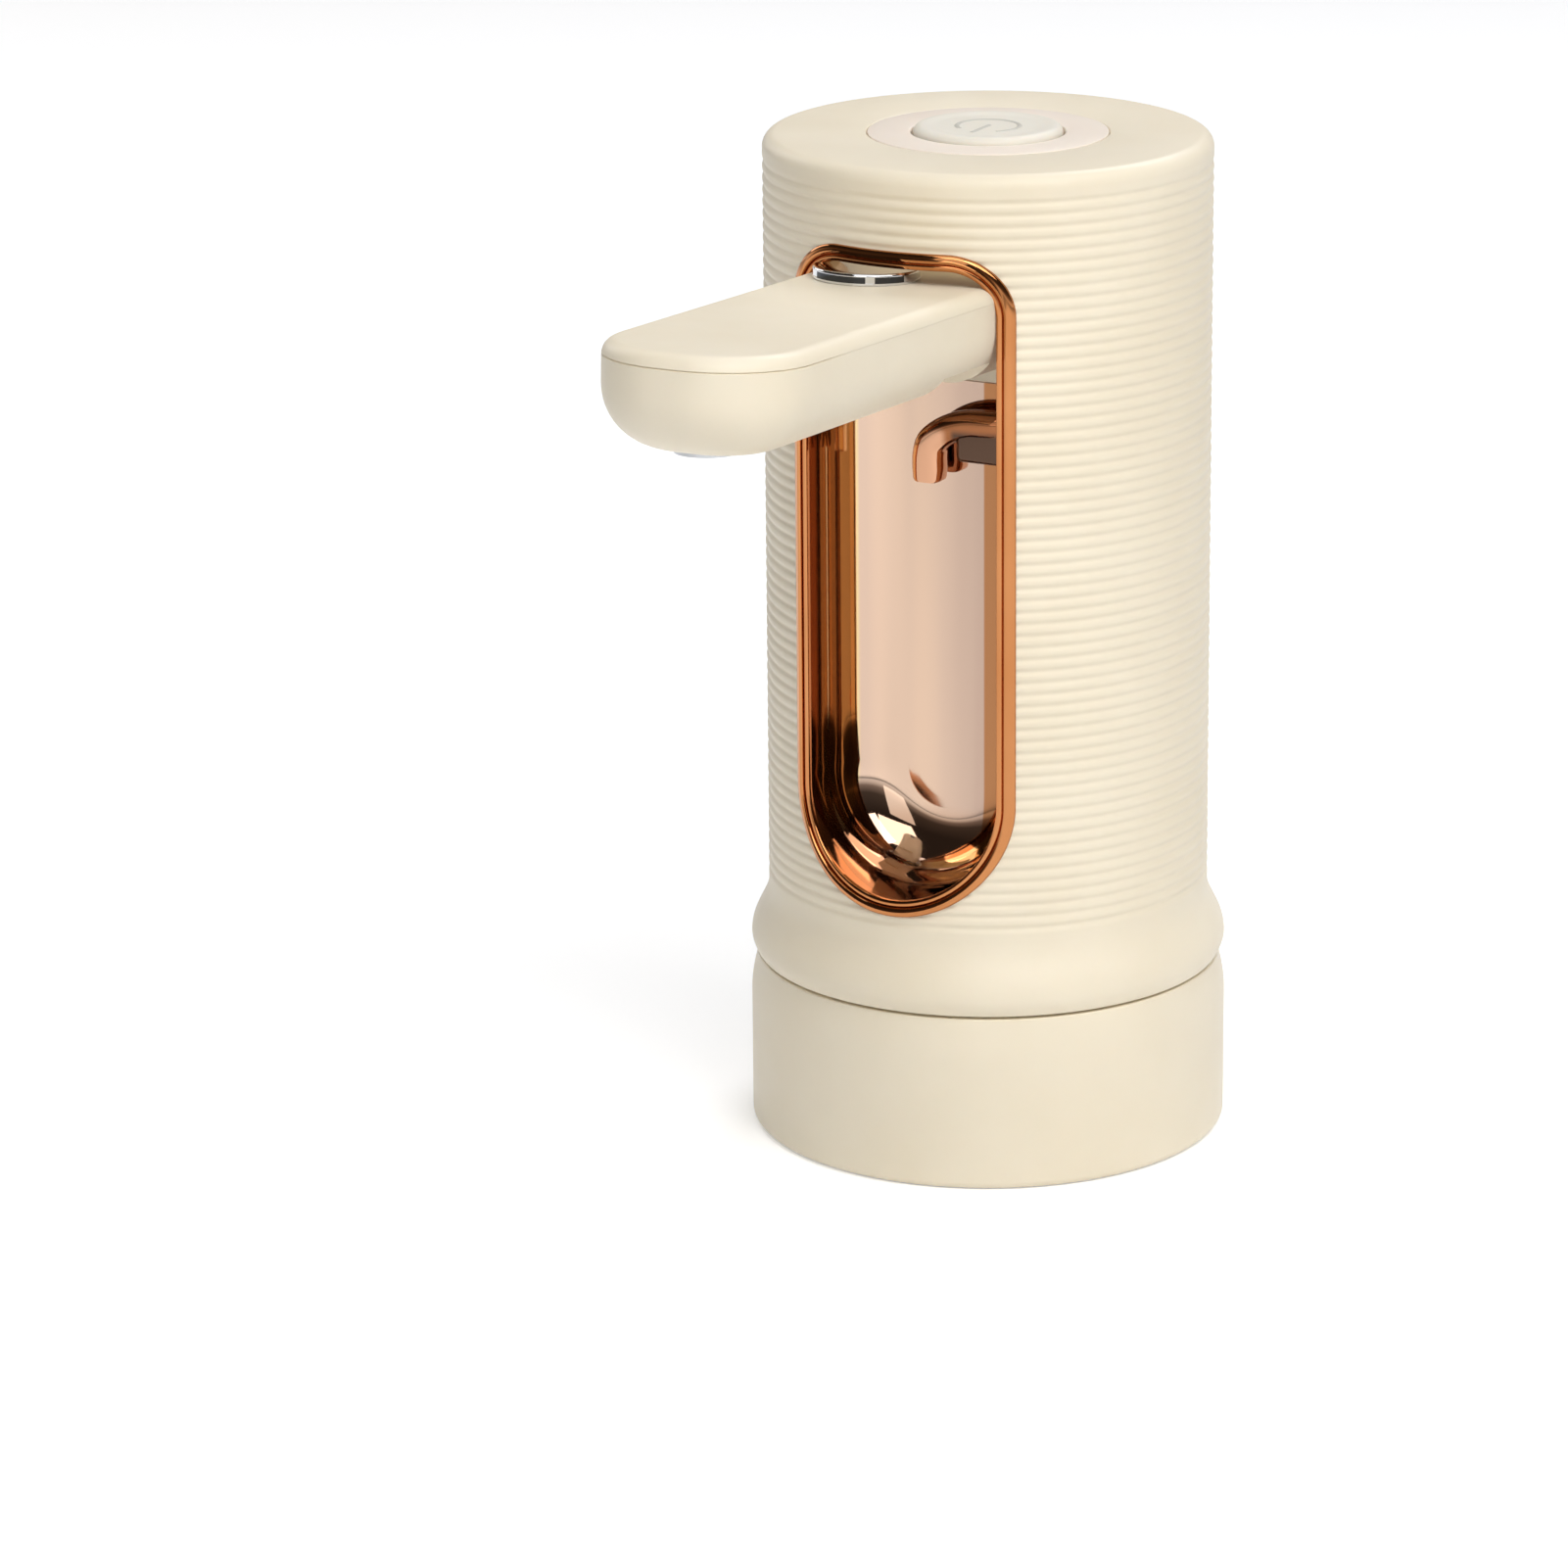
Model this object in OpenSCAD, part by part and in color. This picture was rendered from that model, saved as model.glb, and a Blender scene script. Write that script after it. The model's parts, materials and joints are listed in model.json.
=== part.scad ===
// Electric wine aerator with a spout that folds out of its body.
// Millimetres, +Z up, spout towards -Y, origin at the centre of the base's lower rim.

/* [Body] */
// Outer radius of the body over its ribs
body_r = 23; // [22.8:0.1:24]
// Wall of the body shell
body_wall = 1.8; // [1.5:0.1:2]
// Height of the body's flat top above the base's lower rim
body_top = 105.3; // [105:0.1:112]
// Radius of the rounded top edge
top_fillet = 1.4; // [1:0.1:3]
// Thickness of the shell's roof
roof_t = 2.6; // [2.4:0.1:3]
// Height of one rib and its groove
rib_pitch = 1.23; // [1.1:0.01:1.5]
// Depth of the grooves between ribs
rib_depth = 0.2; // [0.1:0.05:0.3]
// Height of the lowest groove above the foot ring
rib_start = 9; // [8:0.1:10]

/* [Foot ring and base] */
// Outer radius of the base cup
base_r = 24.9; // [24.9:0.1:26]
// Height of the base cup
base_h = 18.2; // [17.6:0.1:19]
// Wall of the base cup
base_wall = 2; // [1.6:0.1:2.2]
// Radius of the rounded lower rim
base_fillet = 0.9; // [0.5:0.1:1.5]
// Gap that shows between base cup and body
seam = 0.3; // [0.2:0.05:0.5]
// How far the base cup's upper edge draws in
base_lead = 0.7; // [0.4:0.1:1]
// Height of the drawn-in part of the base cup
lead_h = 4.4; // [3:0.1:6]
// Height of the foot ring's widest line above its lower edge
ring_rise = 1.8; // [1.4:0.1:2.2]
// Height of the hollow flare above the ring's widest line
flare_h = 5.7; // [4.5:0.1:6]

/* [Bottle socket] */
// Radius of the socket that drops over the bottle's neck
socket_r = 16.5; // [16:0.1:17.5]
// Depth of the socket up to its roof
socket_depth = 13; // [12.5:0.1:13.2]
// Thickness of the socket's roof
socket_roof = 2; // [1.6:0.1:2.2]
// Wall of the socket tube
socket_wall = 1.6; // [1.4:0.1:2]
// Radius of the seal's plug, which enters the bottle's mouth
plug_r = 9.2; // [8.8:0.1:9.5]
// Height of the plug's lower end above the rim
plug_z = 2.5; // [2:0.1:4]
// How far the sealing ribs stand out of the plug
seal_rib = 0.6; // [0.4:0.1:0.8]

/* [Recess] */
// Clear width of the recess
opening_w = 22.6; // [22:0.1:23]
// Height of the recess's upper edge below the top of the body
opening_drop = 8.9; // [8.8:0.1:12]
// Height of the bowl's lowest point above the foot ring's lower edge
bowl_rise = 10.7; // [10.6:0.1:13]
// Radius of the recess's upper corners
opening_corner = 5.4; // [4.6:0.1:5.8]
// Width of the plated rim
rim_w = 1.3; // [1.2:0.1:1.8]
// How far the rim stands proud of the ribs
rim_proud = 0.5; // [0.3:0.1:0.8]
// How far the rim laps over the shell round its window
rim_lap = 0.55; // [0.4:0.05:0.6]
// Wall of the recess liner
liner_t = 1; // [0.8:0.1:1.1]

/* [Spout] */
// Thickness of the spout
spout_t = 10.2; // [10:0.1:10.4]
// Clearance beside the spout in the recess
spout_gap = 0.7; // [0.6:0.05:0.8]
// Clearance behind the folded spout
back_gap = 0.6; // [0.5:0.1:0.8]
// Gap between the folded tip and the bottom of the bowl
tip_gap = 1.2; // [1.1:0.1:8]
// Radius of the spout's lower edges
spout_edge = 6; // [5.5:0.1:6.2]
// Radius of the spout's upper edges
spout_round = 1.5; // [1.2:0.1:1.8]
// Radius of the tip's corners seen from above
tip_corner = 9.4; // [9.2:0.1:10]
// Radius of the tip's bow seen from above
tip_bow = 45; // [35:1:60]
// Wall of the spout shell
spout_wall = 1.5; // [1.2:0.1:1.7]
// Thickness of the spout's top cover
cover_t = 1.4; // [1.2:0.1:1.6]
// Rise of the opened spout above the horizontal, in degrees
open_tilt = 3.3; // [0:0.1:3.5]
// Radius of the chrome disc on the cover
disc_r = 5.4; // [5:0.1:5.5]
// Height of the chrome disc
disc_h = 1.2; // [0.7:0.1:1.3]
// Distance of the disc's centre to the side of the middle
disc_side = 3.2; // [0:0.1:4.2]
// Radius of the outlet nozzle
nozzle_r = 3; // [2.6:0.1:3.2]
// Distance of the spout's tube to the left of the middle
tube_side = 5.9; // [5.8:0.1:6]

/* [Hinge] */
// Distance of the hinge axis behind the body's front
hinge_in = 9.2; // [9.1:0.1:9.6]
// Height of the hinge axis below the spout's top face
hinge_drop = 6.6; // [6.4:0.1:6.7]
// Height of the hinge axis below the upper edge of the recess
hinge_below = 9.4; // [9.3:0.1:10]
// Radius of the hollow spindle
spindle_r = 2.2; // [2.1:0.05:2.3]
// Radius of the spindle's bore, where the wine flows
spindle_bore = 1.1; // [0.9:0.05:1.2]
// Radial running clearance of the spout on its spindle
run_gap = 0.05; // [0.03:0.01:0.08]

/* [Catch] */
// Depth of the catch's upper side below the hinge axis
catch_drop = 7; // [6.7:0.1:7.2]
// How far the catch stands out of the recess's back
catch_out = 4; // [3.4:0.1:4.2]
// Thickness of the catch
catch_t = 3; // [2.4:0.1:3.2]
// Reach of the catch's lip to the left of the middle
catch_left = 2.8; // [2.4:0.1:2.9]
// Distance of the catch's root to the right of the middle
catch_right = 7.2; // [6.5:0.1:7.4]
// Height of the catch
catch_h = 8.5; // [7.5:0.1:9]
// Height of the catch's thick right part
catch_heel = 6.2; // [5:0.1:6.6]

/* [Button] */
// Radius of the round plate in the top
plate_r = 12.3; // [12:0.1:12.8]
// Thickness of the plate's flange
plate_t = 1.6; // [1.4:0.1:1.8]
// Radius of the button's cap
button_r = 7.65; // [7:0.05:8]
// How far the button stands above the plate
button_proud = 0.65; // [0.6:0.05:1]
// Travel of the button
button_travel = 0.6; // [0.4:0.05:0.6]
// Clearance round the button
button_gap = 0.25; // [0.2:0.05:0.3]

/* [Inside] */
// Radius of the battery cell
cell_r = 7.1; // [6.8:0.1:7.2]
// Length of the battery cell
cell_h = 48.5; // [46:0.5:49]
// Distance of the pump's axis to the right of the middle
pump_side = 8.8; // [8.4:0.1:10]
// Radius of the pump's motor
motor_r = 7.75; // [7.4:0.05:7.8]
// Length of the pump's motor
motor_h = 20; // [18:0.5:22]
// Radius of the pump's head
head_r = 8.3; // [8:0.1:8.4]
// Height of the pump's head
head_h = 15; // [14:0.5:16]
// Thickness of the circuit boards
board_t = 1.2; // [1:0.1:1.6]
// Outer radius of the silicone tubes
tube_r = 2.5; // [2.3:0.1:2.5]
// Bore radius of the silicone tubes
tube_bore = 1.5; // [1.3:0.05:1.6]
// Thickness of the chassis plates
chassis_t = 1.4; // [1.2:0.1:1.6]
// Shank radius of the screws
screw_r = 0.9; // [0.8:0.05:1]

/* [Hidden] */
$fn = 96;

// Clearance between pieces that are held still against each other
fit = 0.1;
// Small step past a face that a cut goes through
cut = 1;
bore_r = body_r - body_wall;
inner_r = bore_r - 0.3;

// Heights in the foot and the base
shell_z = base_h + seam;
ring_z = shell_z + ring_rise;
ring_r = base_r - 0.06;
ring_lead = 0.65;
flare_z = ring_z + flare_h;
roof_z = body_top - roof_t;
socket_top = socket_depth + socket_roof;
seal_flange_h = 2.4;
manifold_z = socket_top + seal_flange_h + fit;
manifold_t = 6.4;
manifold_top = manifold_z + manifold_t;
spigot_z = shell_z - 4.2;
spigot_r = base_r - base_wall - 0.15;
bead = 0.35;
bead_z = shell_z - 2.6;
boss_r = 2.6;
boss_h = 4;
boss_path = bore_r - boss_r - 0.1;
boss_angles = [52, 128];

// The recess, and the spout that folds into it
half_w = opening_w / 2;
opening_top = body_top - opening_drop;
bowl_bottom = shell_z + bowl_rise;
bowl_z = bowl_bottom + half_w;
hinge_y = hinge_in - body_r;
hinge_z = opening_top - hinge_below;
below_hinge = spout_t - hinge_drop;
spout_half = half_w - spout_gap;
spout_len = hinge_z - bowl_bottom - tip_gap;
recess_y = hinge_y + below_hinge + back_gap;
recess_edge = spout_edge + spout_gap;
liner_back = recess_y + liner_t;
liner_half = half_w + liner_t;
rim_in = 2.6;
pocket_r = hinge_drop + 0.3;
block_back = liner_back + 3.5;
block_low = hinge_z - 8.6;
block_front = hinge_y - spindle_r - 0.4;
lip_z = hinge_z - 5.5;
block_high = opening_top + liner_t + fit;
spindle_end = sqrt(pow(inner_r, 2) - pow(-hinge_y + spindle_r, 2)) - 0.75;
chamber_end = spindle_end + 0.3;
riser_x = -half_w - tube_r + 0.3;
riser_y = block_back - tube_r - 0.7;
barb_r = tube_bore - 0.05;
channel_r = 1.1;
wine_r = 0.9;
air_r = 0.6;
air_port = 6.5;
washer_t = spout_gap - 0.06;
port_y = -hinge_drop - 2.2;
nozzle_y = -spout_len + 8.4;
tube_z = 0.2;
stub_r = 1.25;
spout_tube_r = 1.75;
seal_minor = 0.34;
seal_x = 2.4;
disc_y = -8.1;
catch_top = hinge_z - catch_drop;
catch_w = 4.2;
catch_bar = 3.4;
heel_x = 2.4;
catch_front = recess_y - catch_out;
peg_r = 1.1;
peg_z = catch_top - 3.4;
pocket_gap = 0.4;
pocket_wall = 0.8;
pocket_depth = catch_out - back_gap + pocket_gap;
pocket_near = catch_drop - 1.6;
pocket_len = catch_h + 1.6 + pocket_gap;
pocket_left = catch_left + pocket_gap;
pocket_w = pocket_left + catch_right + catch_bar / 2 + pocket_gap;

// The chassis behind the liner
chassis_y = block_back + fit;
chassis_back = chassis_y + chassis_t;
foot_z = manifold_top;
foot_top = foot_z + 1.6;
ledge_top = roof_z - 6.4;
chassis_half = 17;
pump_y = chassis_back + motor_r + 1;
pump_x = min(pump_side, sqrt(pow(inner_r - head_r - 0.2, 2) - pow(pump_y, 2)));
cell_x = pump_x - head_r - cell_r - 0.3;
cell_y = chassis_back + cell_r + 0.6;
cell_z = manifold_top + boss_h + 5;
shelf_z = manifold_top + 9.4;
shelf_top = shelf_z + 1.6;
pad_t = 1;
head_z = shelf_top + pad_t;
motor_z = head_z + head_h;
valve_x = pump_x + 5;
valve_y = pump_y;
nipple_end = shelf_z - 0.4;
valve_h = 2.6;
valve_top = manifold_top + valve_h;
valve_barb = 3.2;
shaft_r = 1;
crank = 1.2;
crank_h = 3.4;
crank_z = motor_z - crank_h - 0.8;
control_half = 6.5;
control_y = sqrt(pow(inner_r, 2) - pow(control_half, 2)) - board_t - 2;
control_z = manifold_top + 3.5;
control_top = max(ledge_top - 6.6, cell_z + cell_h + 1.5);
post_z = [control_z + 2.2, control_top - 4];
usb_z = control_z + 8;
flex_x = 2.6;
flex_w = 3.6;
usb_w = 8.94;
usb_h = 3.2;
liner_boss_z = [bowl_z + 4, min(hinge_z - 14, control_top - 12)];
hinge_screw_x = 13.4;
hinge_screw_z = hinge_z + 5;

// The button and what it presses
plate_top = body_top + 0.05;
plate_z = plate_top - plate_t;
skirt_r = plate_r - 1.7;
skirt_z = roof_z - 1.8;
flange_t = 1;
flange_r = button_r + 1;
flange_z = roof_z - 1.2;
button_top = plate_top + button_proud;
plunger_r = 1.6;
plunger_top = flange_z - 0.5;
plunger_h = 2;
switch_z = ledge_top + board_t;
switch_top = plunger_top - button_travel - 0.2;
switch_w = 6;

function wave(s) = (1 + cos(180 * s)) / 2;

// Space inside the body shell, less a gap
module inside_body(z, h, gap = 0) {
    translate([0, 0, z]) cylinder(r = inner_r - gap, h = h);
}

// Body: outer line of the shell, as radius and height
module shell_outline() {
    steps = 9;
    first = shell_z + rib_start;
    last = body_top - top_fillet - 0.6;
    count = floor((last - first) / rib_pitch);
    flare = [for (i = [0:steps]) let (s = i / steps)
        [body_r + (ring_r - body_r) * wave(s), ring_z + flare_h * s]];
    lead = [for (i = [0:3]) let (s = 1 - i / 4)
        [ring_r - ring_lead * (1 - cos(90 * s)), ring_z - ring_rise * s]];
    ribs = [for (i = [0:count], side = [-1, 0, 1])
        [body_r - (side == 0 ? rib_depth : 0), first + i * rib_pitch + side * rib_pitch * 0.2]];
    polygon(concat([[0, shell_z]], lead, flare, ribs,
        [[body_r, body_top - top_fillet], [0, body_top - top_fillet]]));
    translate([0, body_top - top_fillet - cut]) square([body_r - top_fillet, top_fillet + cut]);
    translate([body_r - top_fillet, body_top - top_fillet]) circle(r = top_fillet);
}

module body_shell() color([0.95, 0.91, 0.83]) difference() {
    union() {
        rotate_extrude() difference() {
            union() {
                shell_outline();
                translate([0, spigot_z]) square([spigot_r, shell_z - spigot_z + cut]);
                translate([spigot_r - cut, bead_z - bead]) square([cut + bead, bead * 2]);
            }
            translate([-1, spigot_z - cut]) square([bore_r + 1, roof_z - spigot_z + cut]);
        }
        // Bosses for the three screws that hold the manifold
        for (a = boss_angles) rotate(a) translate([boss_path, 0, manifold_top])
            intersection() {
                cylinder(r = boss_r, h = boss_h);
                translate([-boss_path, 0, 0]) cylinder(r = bore_r + 0.2, h = boss_h);
            }
        for (a = boss_angles) rotate(a) translate([boss_path, -1, manifold_top])
            cube([boss_r + 0.6, 2, boss_h]);
        translate([-boss_r, -bore_r - 0.2, manifold_top]) cube([boss_r * 2, 4.6, 2.6]);
    }
    // Window that the rim sits in
    recess_prism(rim_w - rim_lap + fit);
    // Seat and hole of the button plate
    translate([0, 0, plate_z - 0.02]) cylinder(r = plate_r + fit, h = plate_t + cut);
    translate([0, 0, roof_z - cut]) cylinder(r = skirt_r + fit, h = roof_t + 2 * cut);
    // Charging port
    translate([0, bore_r + cut + 2, usb_z]) rotate([90, 0, 0]) usb_outline(0.35, 6);
    // Pilot holes of the manifold's screws
    for (a = boss_angles) rotate(a) translate([boss_path, 0, manifold_top - cut])
        cylinder(r = screw_r, h = boss_h);
    translate([0, -boss_path, manifold_top - cut]) cylinder(r = screw_r, h = 2.6);
}

module base_cup() color([0.95, 0.91, 0.83]) rotate_extrude() difference() {
    steps = 6;
    union() {
        polygon(concat([[socket_r - cut, base_fillet]],
            [[base_r, base_fillet], [base_r, base_h - lead_h]],
            [for (i = [1:steps]) let (s = i / steps)
                [base_r - base_lead * (1 - cos(90 * s)), base_h - lead_h * (1 - s)]],
            [[socket_r - cut, base_h]]));
        translate([0, 0]) square([base_r - base_fillet, base_fillet + cut]);
        translate([base_r - base_fillet, base_fillet]) circle(r = base_fillet);
    }
    // Space between the outer wall and the socket tube
    translate([socket_r + socket_wall, 2]) square([base_r - base_wall - socket_r - socket_wall, base_h]);
    // Groove that the shell's bead snaps into
    translate([base_r - base_wall - cut, bead_z - bead - 0.15])
        square([cut + bead + 0.12, bead * 2 + 0.3]);
    translate([0, socket_top]) square([socket_r + socket_wall + cut, base_h]);
    // Socket for the bottle's neck, and the seal's hole in its roof
    translate([-1, -cut]) square([socket_r + 1, socket_depth + cut]);
    translate([-1, -cut]) square([plug_r + 2, base_h]);
}

// Front outline of the recess, grown by g all round
module recess_front(g) {
    top_r = opening_corner + g;
    translate([0, bowl_z]) circle(r = half_w + g);
    translate([-half_w - g, bowl_z]) square([opening_w + 2 * g, opening_top - opening_corner - bowl_z]);
    translate([-half_w + opening_corner, bowl_z])
        square([opening_w - 2 * opening_corner, opening_top + g - bowl_z]);
    for (side = [-1, 1])
        translate([side * (half_w - opening_corner), opening_top - opening_corner]) circle(r = top_r);
}

module recess_prism(g) {
    translate([0, -6, 0]) rotate([90, 0, 0]) linear_extrude(height = body_r) recess_front(g);
}

// Plan of the recess, grown by g all round
module recess_plan(g) {
    edge = recess_edge + g;
    corner_x = half_w - recess_edge;
    corner_y = recess_y - recess_edge;
    translate([-half_w - g, -body_r - 3]) square([opening_w + 2 * g, body_r + 3 + corner_y]);
    translate([-corner_x, -body_r - 3]) square([2 * corner_x, body_r + 3 + recess_y + g]);
    for (side = [-1, 1]) translate([side * corner_x, corner_y]) circle(r = edge);
}

// Hollow of the recess: an upright channel that ends below in a round bowl
module recess_form(g) {
    intersection() {
        translate([0, 0, bowl_z]) linear_extrude(height = opening_top + g - bowl_z) recess_plan(g);
        translate([0, 2, 0]) rotate([90, 0, 0]) linear_extrude(height = body_r + 6) recess_front(g);
    }
    // Lower half of a round bowl
    translate([0, 0, bowl_z]) rotate([-90, 0, 0]) rotate_extrude(angle = 180) intersection() {
        recess_plan(g);
        translate([0, -body_r - 3]) square([body_r, body_r + 3]);
    }
}

module window_rim() color([0.86, 0.58, 0.44]) difference() {
    union() {
        intersection() {
            recess_prism(rim_w);
            difference() {
                cylinder(r = body_r + rim_proud, h = body_top);
                translate([0, 0, -cut]) cylinder(r = body_r + 0.02, h = body_top + 2 * cut);
            }
        }
        intersection() {
            recess_prism(rim_w - rim_lap);
            difference() {
                cylinder(r = body_r + rim_proud, h = body_top);
                translate([0, 0, -cut]) cylinder(r = body_r - rim_in, h = body_top + 2 * cut);
            }
        }
    }
    recess_prism(0);
}

module recess_liner() color([0.85, 0.62, 0.5]) difference() {
    union() {
        difference() {
            difference() {
                recess_form(liner_t);
                // Everything in front of the rim's inner edge
                difference() {
                    translate([-body_r, -body_r - 5, 0]) cube([2 * body_r, body_r + 5, body_top]);
                    translate([0, 0, -cut]) cylinder(r = body_r - rim_in - 0.02, h = body_top + 2 * cut);
                }
                // The hinge block takes the liner's place round the spout's hinge end
                translate([-body_r, block_front, lip_z]) cube([2 * body_r, body_r, body_top]);
            }
            recess_form(0);
        }
        for (z = liner_boss_z) translate([0, liner_back - 0.3, z]) rotate([-90, 0, 0])
            cylinder(r = 2.4, h = chassis_y - liner_back + 0.3 - 0.02);
    }
    // Hole for the catch's peg
    translate([catch_right, recess_y - cut, peg_z]) rotate([-90, 0, 0])
        cylinder(r = peg_r + 0.05, h = liner_t + 2 * cut);
    // Pilot holes of the liner's screws
    for (z = liner_boss_z) translate([0, liner_back + 0.6, z]) rotate([-90, 0, 0])
        cylinder(r = screw_r, h = chassis_y - liner_back);
}

// Catch that the pocket under the folded spout slips over
module spout_catch() color([0.86, 0.58, 0.44]) {
    intersection() {
        union() {
            translate([0, catch_front + catch_t, 0]) rotate([90, 0, 0]) linear_extrude(height = catch_t)
                catch_outline();
            translate([catch_right - catch_bar / 2, catch_front + cut, catch_top - catch_bar])
                cube([catch_bar, catch_out, catch_bar]);
        }
        translate([0, 0, bowl_z]) linear_extrude(height = body_top) recess_plan(-0.02);
    }
    translate([catch_right, recess_y - 1, peg_z]) rotate([-90, 0, 0])
        cylinder(r = peg_r, h = liner_t + 1.8);
}

// Catch seen from the front: a lip that hangs down at the left, and an arm to the root at the right
module catch_outline() {
    corner = 0.9;
    low = catch_top - catch_h;
    shoulder = catch_top - 2.6;
    end = catch_right + catch_bar / 2;
    translate([-catch_left, low + corner]) square([catch_w, shoulder - 1.6 - low - corner]);
    translate([-catch_left + corner, low]) square([catch_w - 2 * corner, catch_bar]);
    for (x = [corner, catch_w - corner]) translate([x - catch_left, low + corner]) circle(r = corner);
    translate([2 - catch_left, shoulder - 2]) circle(r = 2);
    polygon([[1.4 - catch_left, shoulder - 0.12], [2.6, catch_top], [end, catch_top],
        [end, catch_top - catch_bar], [3.2, catch_top - catch_bar], [catch_w - catch_left, shoulder - 3.4],
        [0.4 - catch_left, shoulder - 3.4]]);
    // Thick right part, rounded at its lower left corner
    translate([heel_x, catch_top - catch_heel + 0.6]) square([end - heel_x, catch_heel - 1.6]);
    translate([heel_x + 0.6, catch_top - catch_heel]) square([end - heel_x - 0.6, 1]);
    translate([heel_x + 0.6, catch_top - catch_heel + 0.6]) circle(r = 0.6);
}

module hinge_pocket(gap) {
    translate([-half_w - gap, hinge_y, hinge_z]) rotate([0, 90, 0])
        cylinder(r = pocket_r, h = opening_w + 2 * gap);
}

module hinge_block() color([0.93, 0.89, 0.8]) difference() {
    union() {
        difference() {
            intersection() {
                union() {
                    translate([-body_r, liner_back + fit, block_low])
                        cube([2 * body_r, block_back - liner_back - fit, block_high - block_low]);
                    translate([-body_r, block_front + fit, lip_z + fit])
                        cube([2 * body_r, block_back - block_front - fit, block_high - lip_z - fit]);
                    translate([riser_x, riser_y, block_low]) cylinder(r = 2.6, h = lip_z - block_low + 1);
                }
                inside_body(block_low - cut, body_top);
            }
            recess_form(0);
        }
        // Stub that the riser tube is pushed on
        translate([riser_x, riser_y, block_low - 4.5]) cylinder(r = barb_r, h = 5);
    }
    hinge_pocket(0);
    translate([-chamber_end, hinge_y, hinge_z]) rotate([0, 90, 0])
        cylinder(r = spindle_r, h = 2 * chamber_end);
    // Way of the wine from the riser to the end of the spindle
    translate([riser_x, riser_y, block_low - 5]) cylinder(r = channel_r * 0.8, h = hinge_z - block_low + 5);
    translate([riser_x, hinge_y, hinge_z]) rotate([-90, 0, 0])
        cylinder(r = channel_r * 0.8, h = riser_y - hinge_y);
    translate([riser_x, hinge_y, hinge_z]) rotate([0, 90, 0])
        cylinder(r = channel_r * 0.8, h = 2);
    for (side = [-1, 1]) translate([side * hinge_screw_x, block_back + cut, hinge_screw_z])
        rotate([90, 0, 0]) cylinder(r = screw_r, h = 3.2 + cut);
}

module hinge_spindle() color([0.75, 0.76, 0.78]) difference() {
    translate([-spindle_end + 0.6, hinge_y, hinge_z]) rotate([0, 90, 0])
        cylinder(r = spindle_r, h = 2 * spindle_end - 0.6);
    translate([-spindle_end, hinge_y, hinge_z]) rotate([0, 90, 0])
        cylinder(r = spindle_bore, h = spindle_end - tube_side + 2);
    // Port towards the tip of the spout, between the two seals
    opened() translate([-tube_side, 0, 0]) rotate([90, 0, 0])
        cylinder(r = spindle_bore * 0.8, h = spindle_r + cut);
    for (side = [-1, 1]) translate([side * seal_x - tube_side - 0.55, hinge_y, hinge_z]) rotate([0, 90, 0])
        difference() {
            cylinder(r = spindle_r + cut, h = 1.1);
            translate([0, 0, -cut]) cylinder(r = spindle_r - 2 * seal_minor - 0.06, h = 1.1 + 2 * cut);
        }
}

module spindle_seals() color([0.2, 0.2, 0.2])
    for (side = [-1, 1]) translate([side * seal_x - tube_side, hinge_y, hinge_z]) rotate([0, 90, 0])
        rotate_extrude() translate([spindle_r - seal_minor - 0.02, 0]) circle(r = seal_minor, $fn = 24);

module friction_washers() color([0.85, 0.85, 0.85])
    for (side = [0, 1]) mirror([side, 0, 0])
        translate([spout_half + 0.03, hinge_y, hinge_z]) rotate([0, 90, 0]) difference() {
            cylinder(r = spindle_r + 2, h = washer_t);
            translate([0, 0, -cut]) cylinder(r = spindle_r, h = washer_t + 2 * cut);
        }

// Spout frame: origin on the hinge axis, spout along -Y, raised by the open tilt
module opened() {
    translate([0, hinge_y, hinge_z]) rotate([-open_tilt, 0, 0]) children();
}

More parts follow.
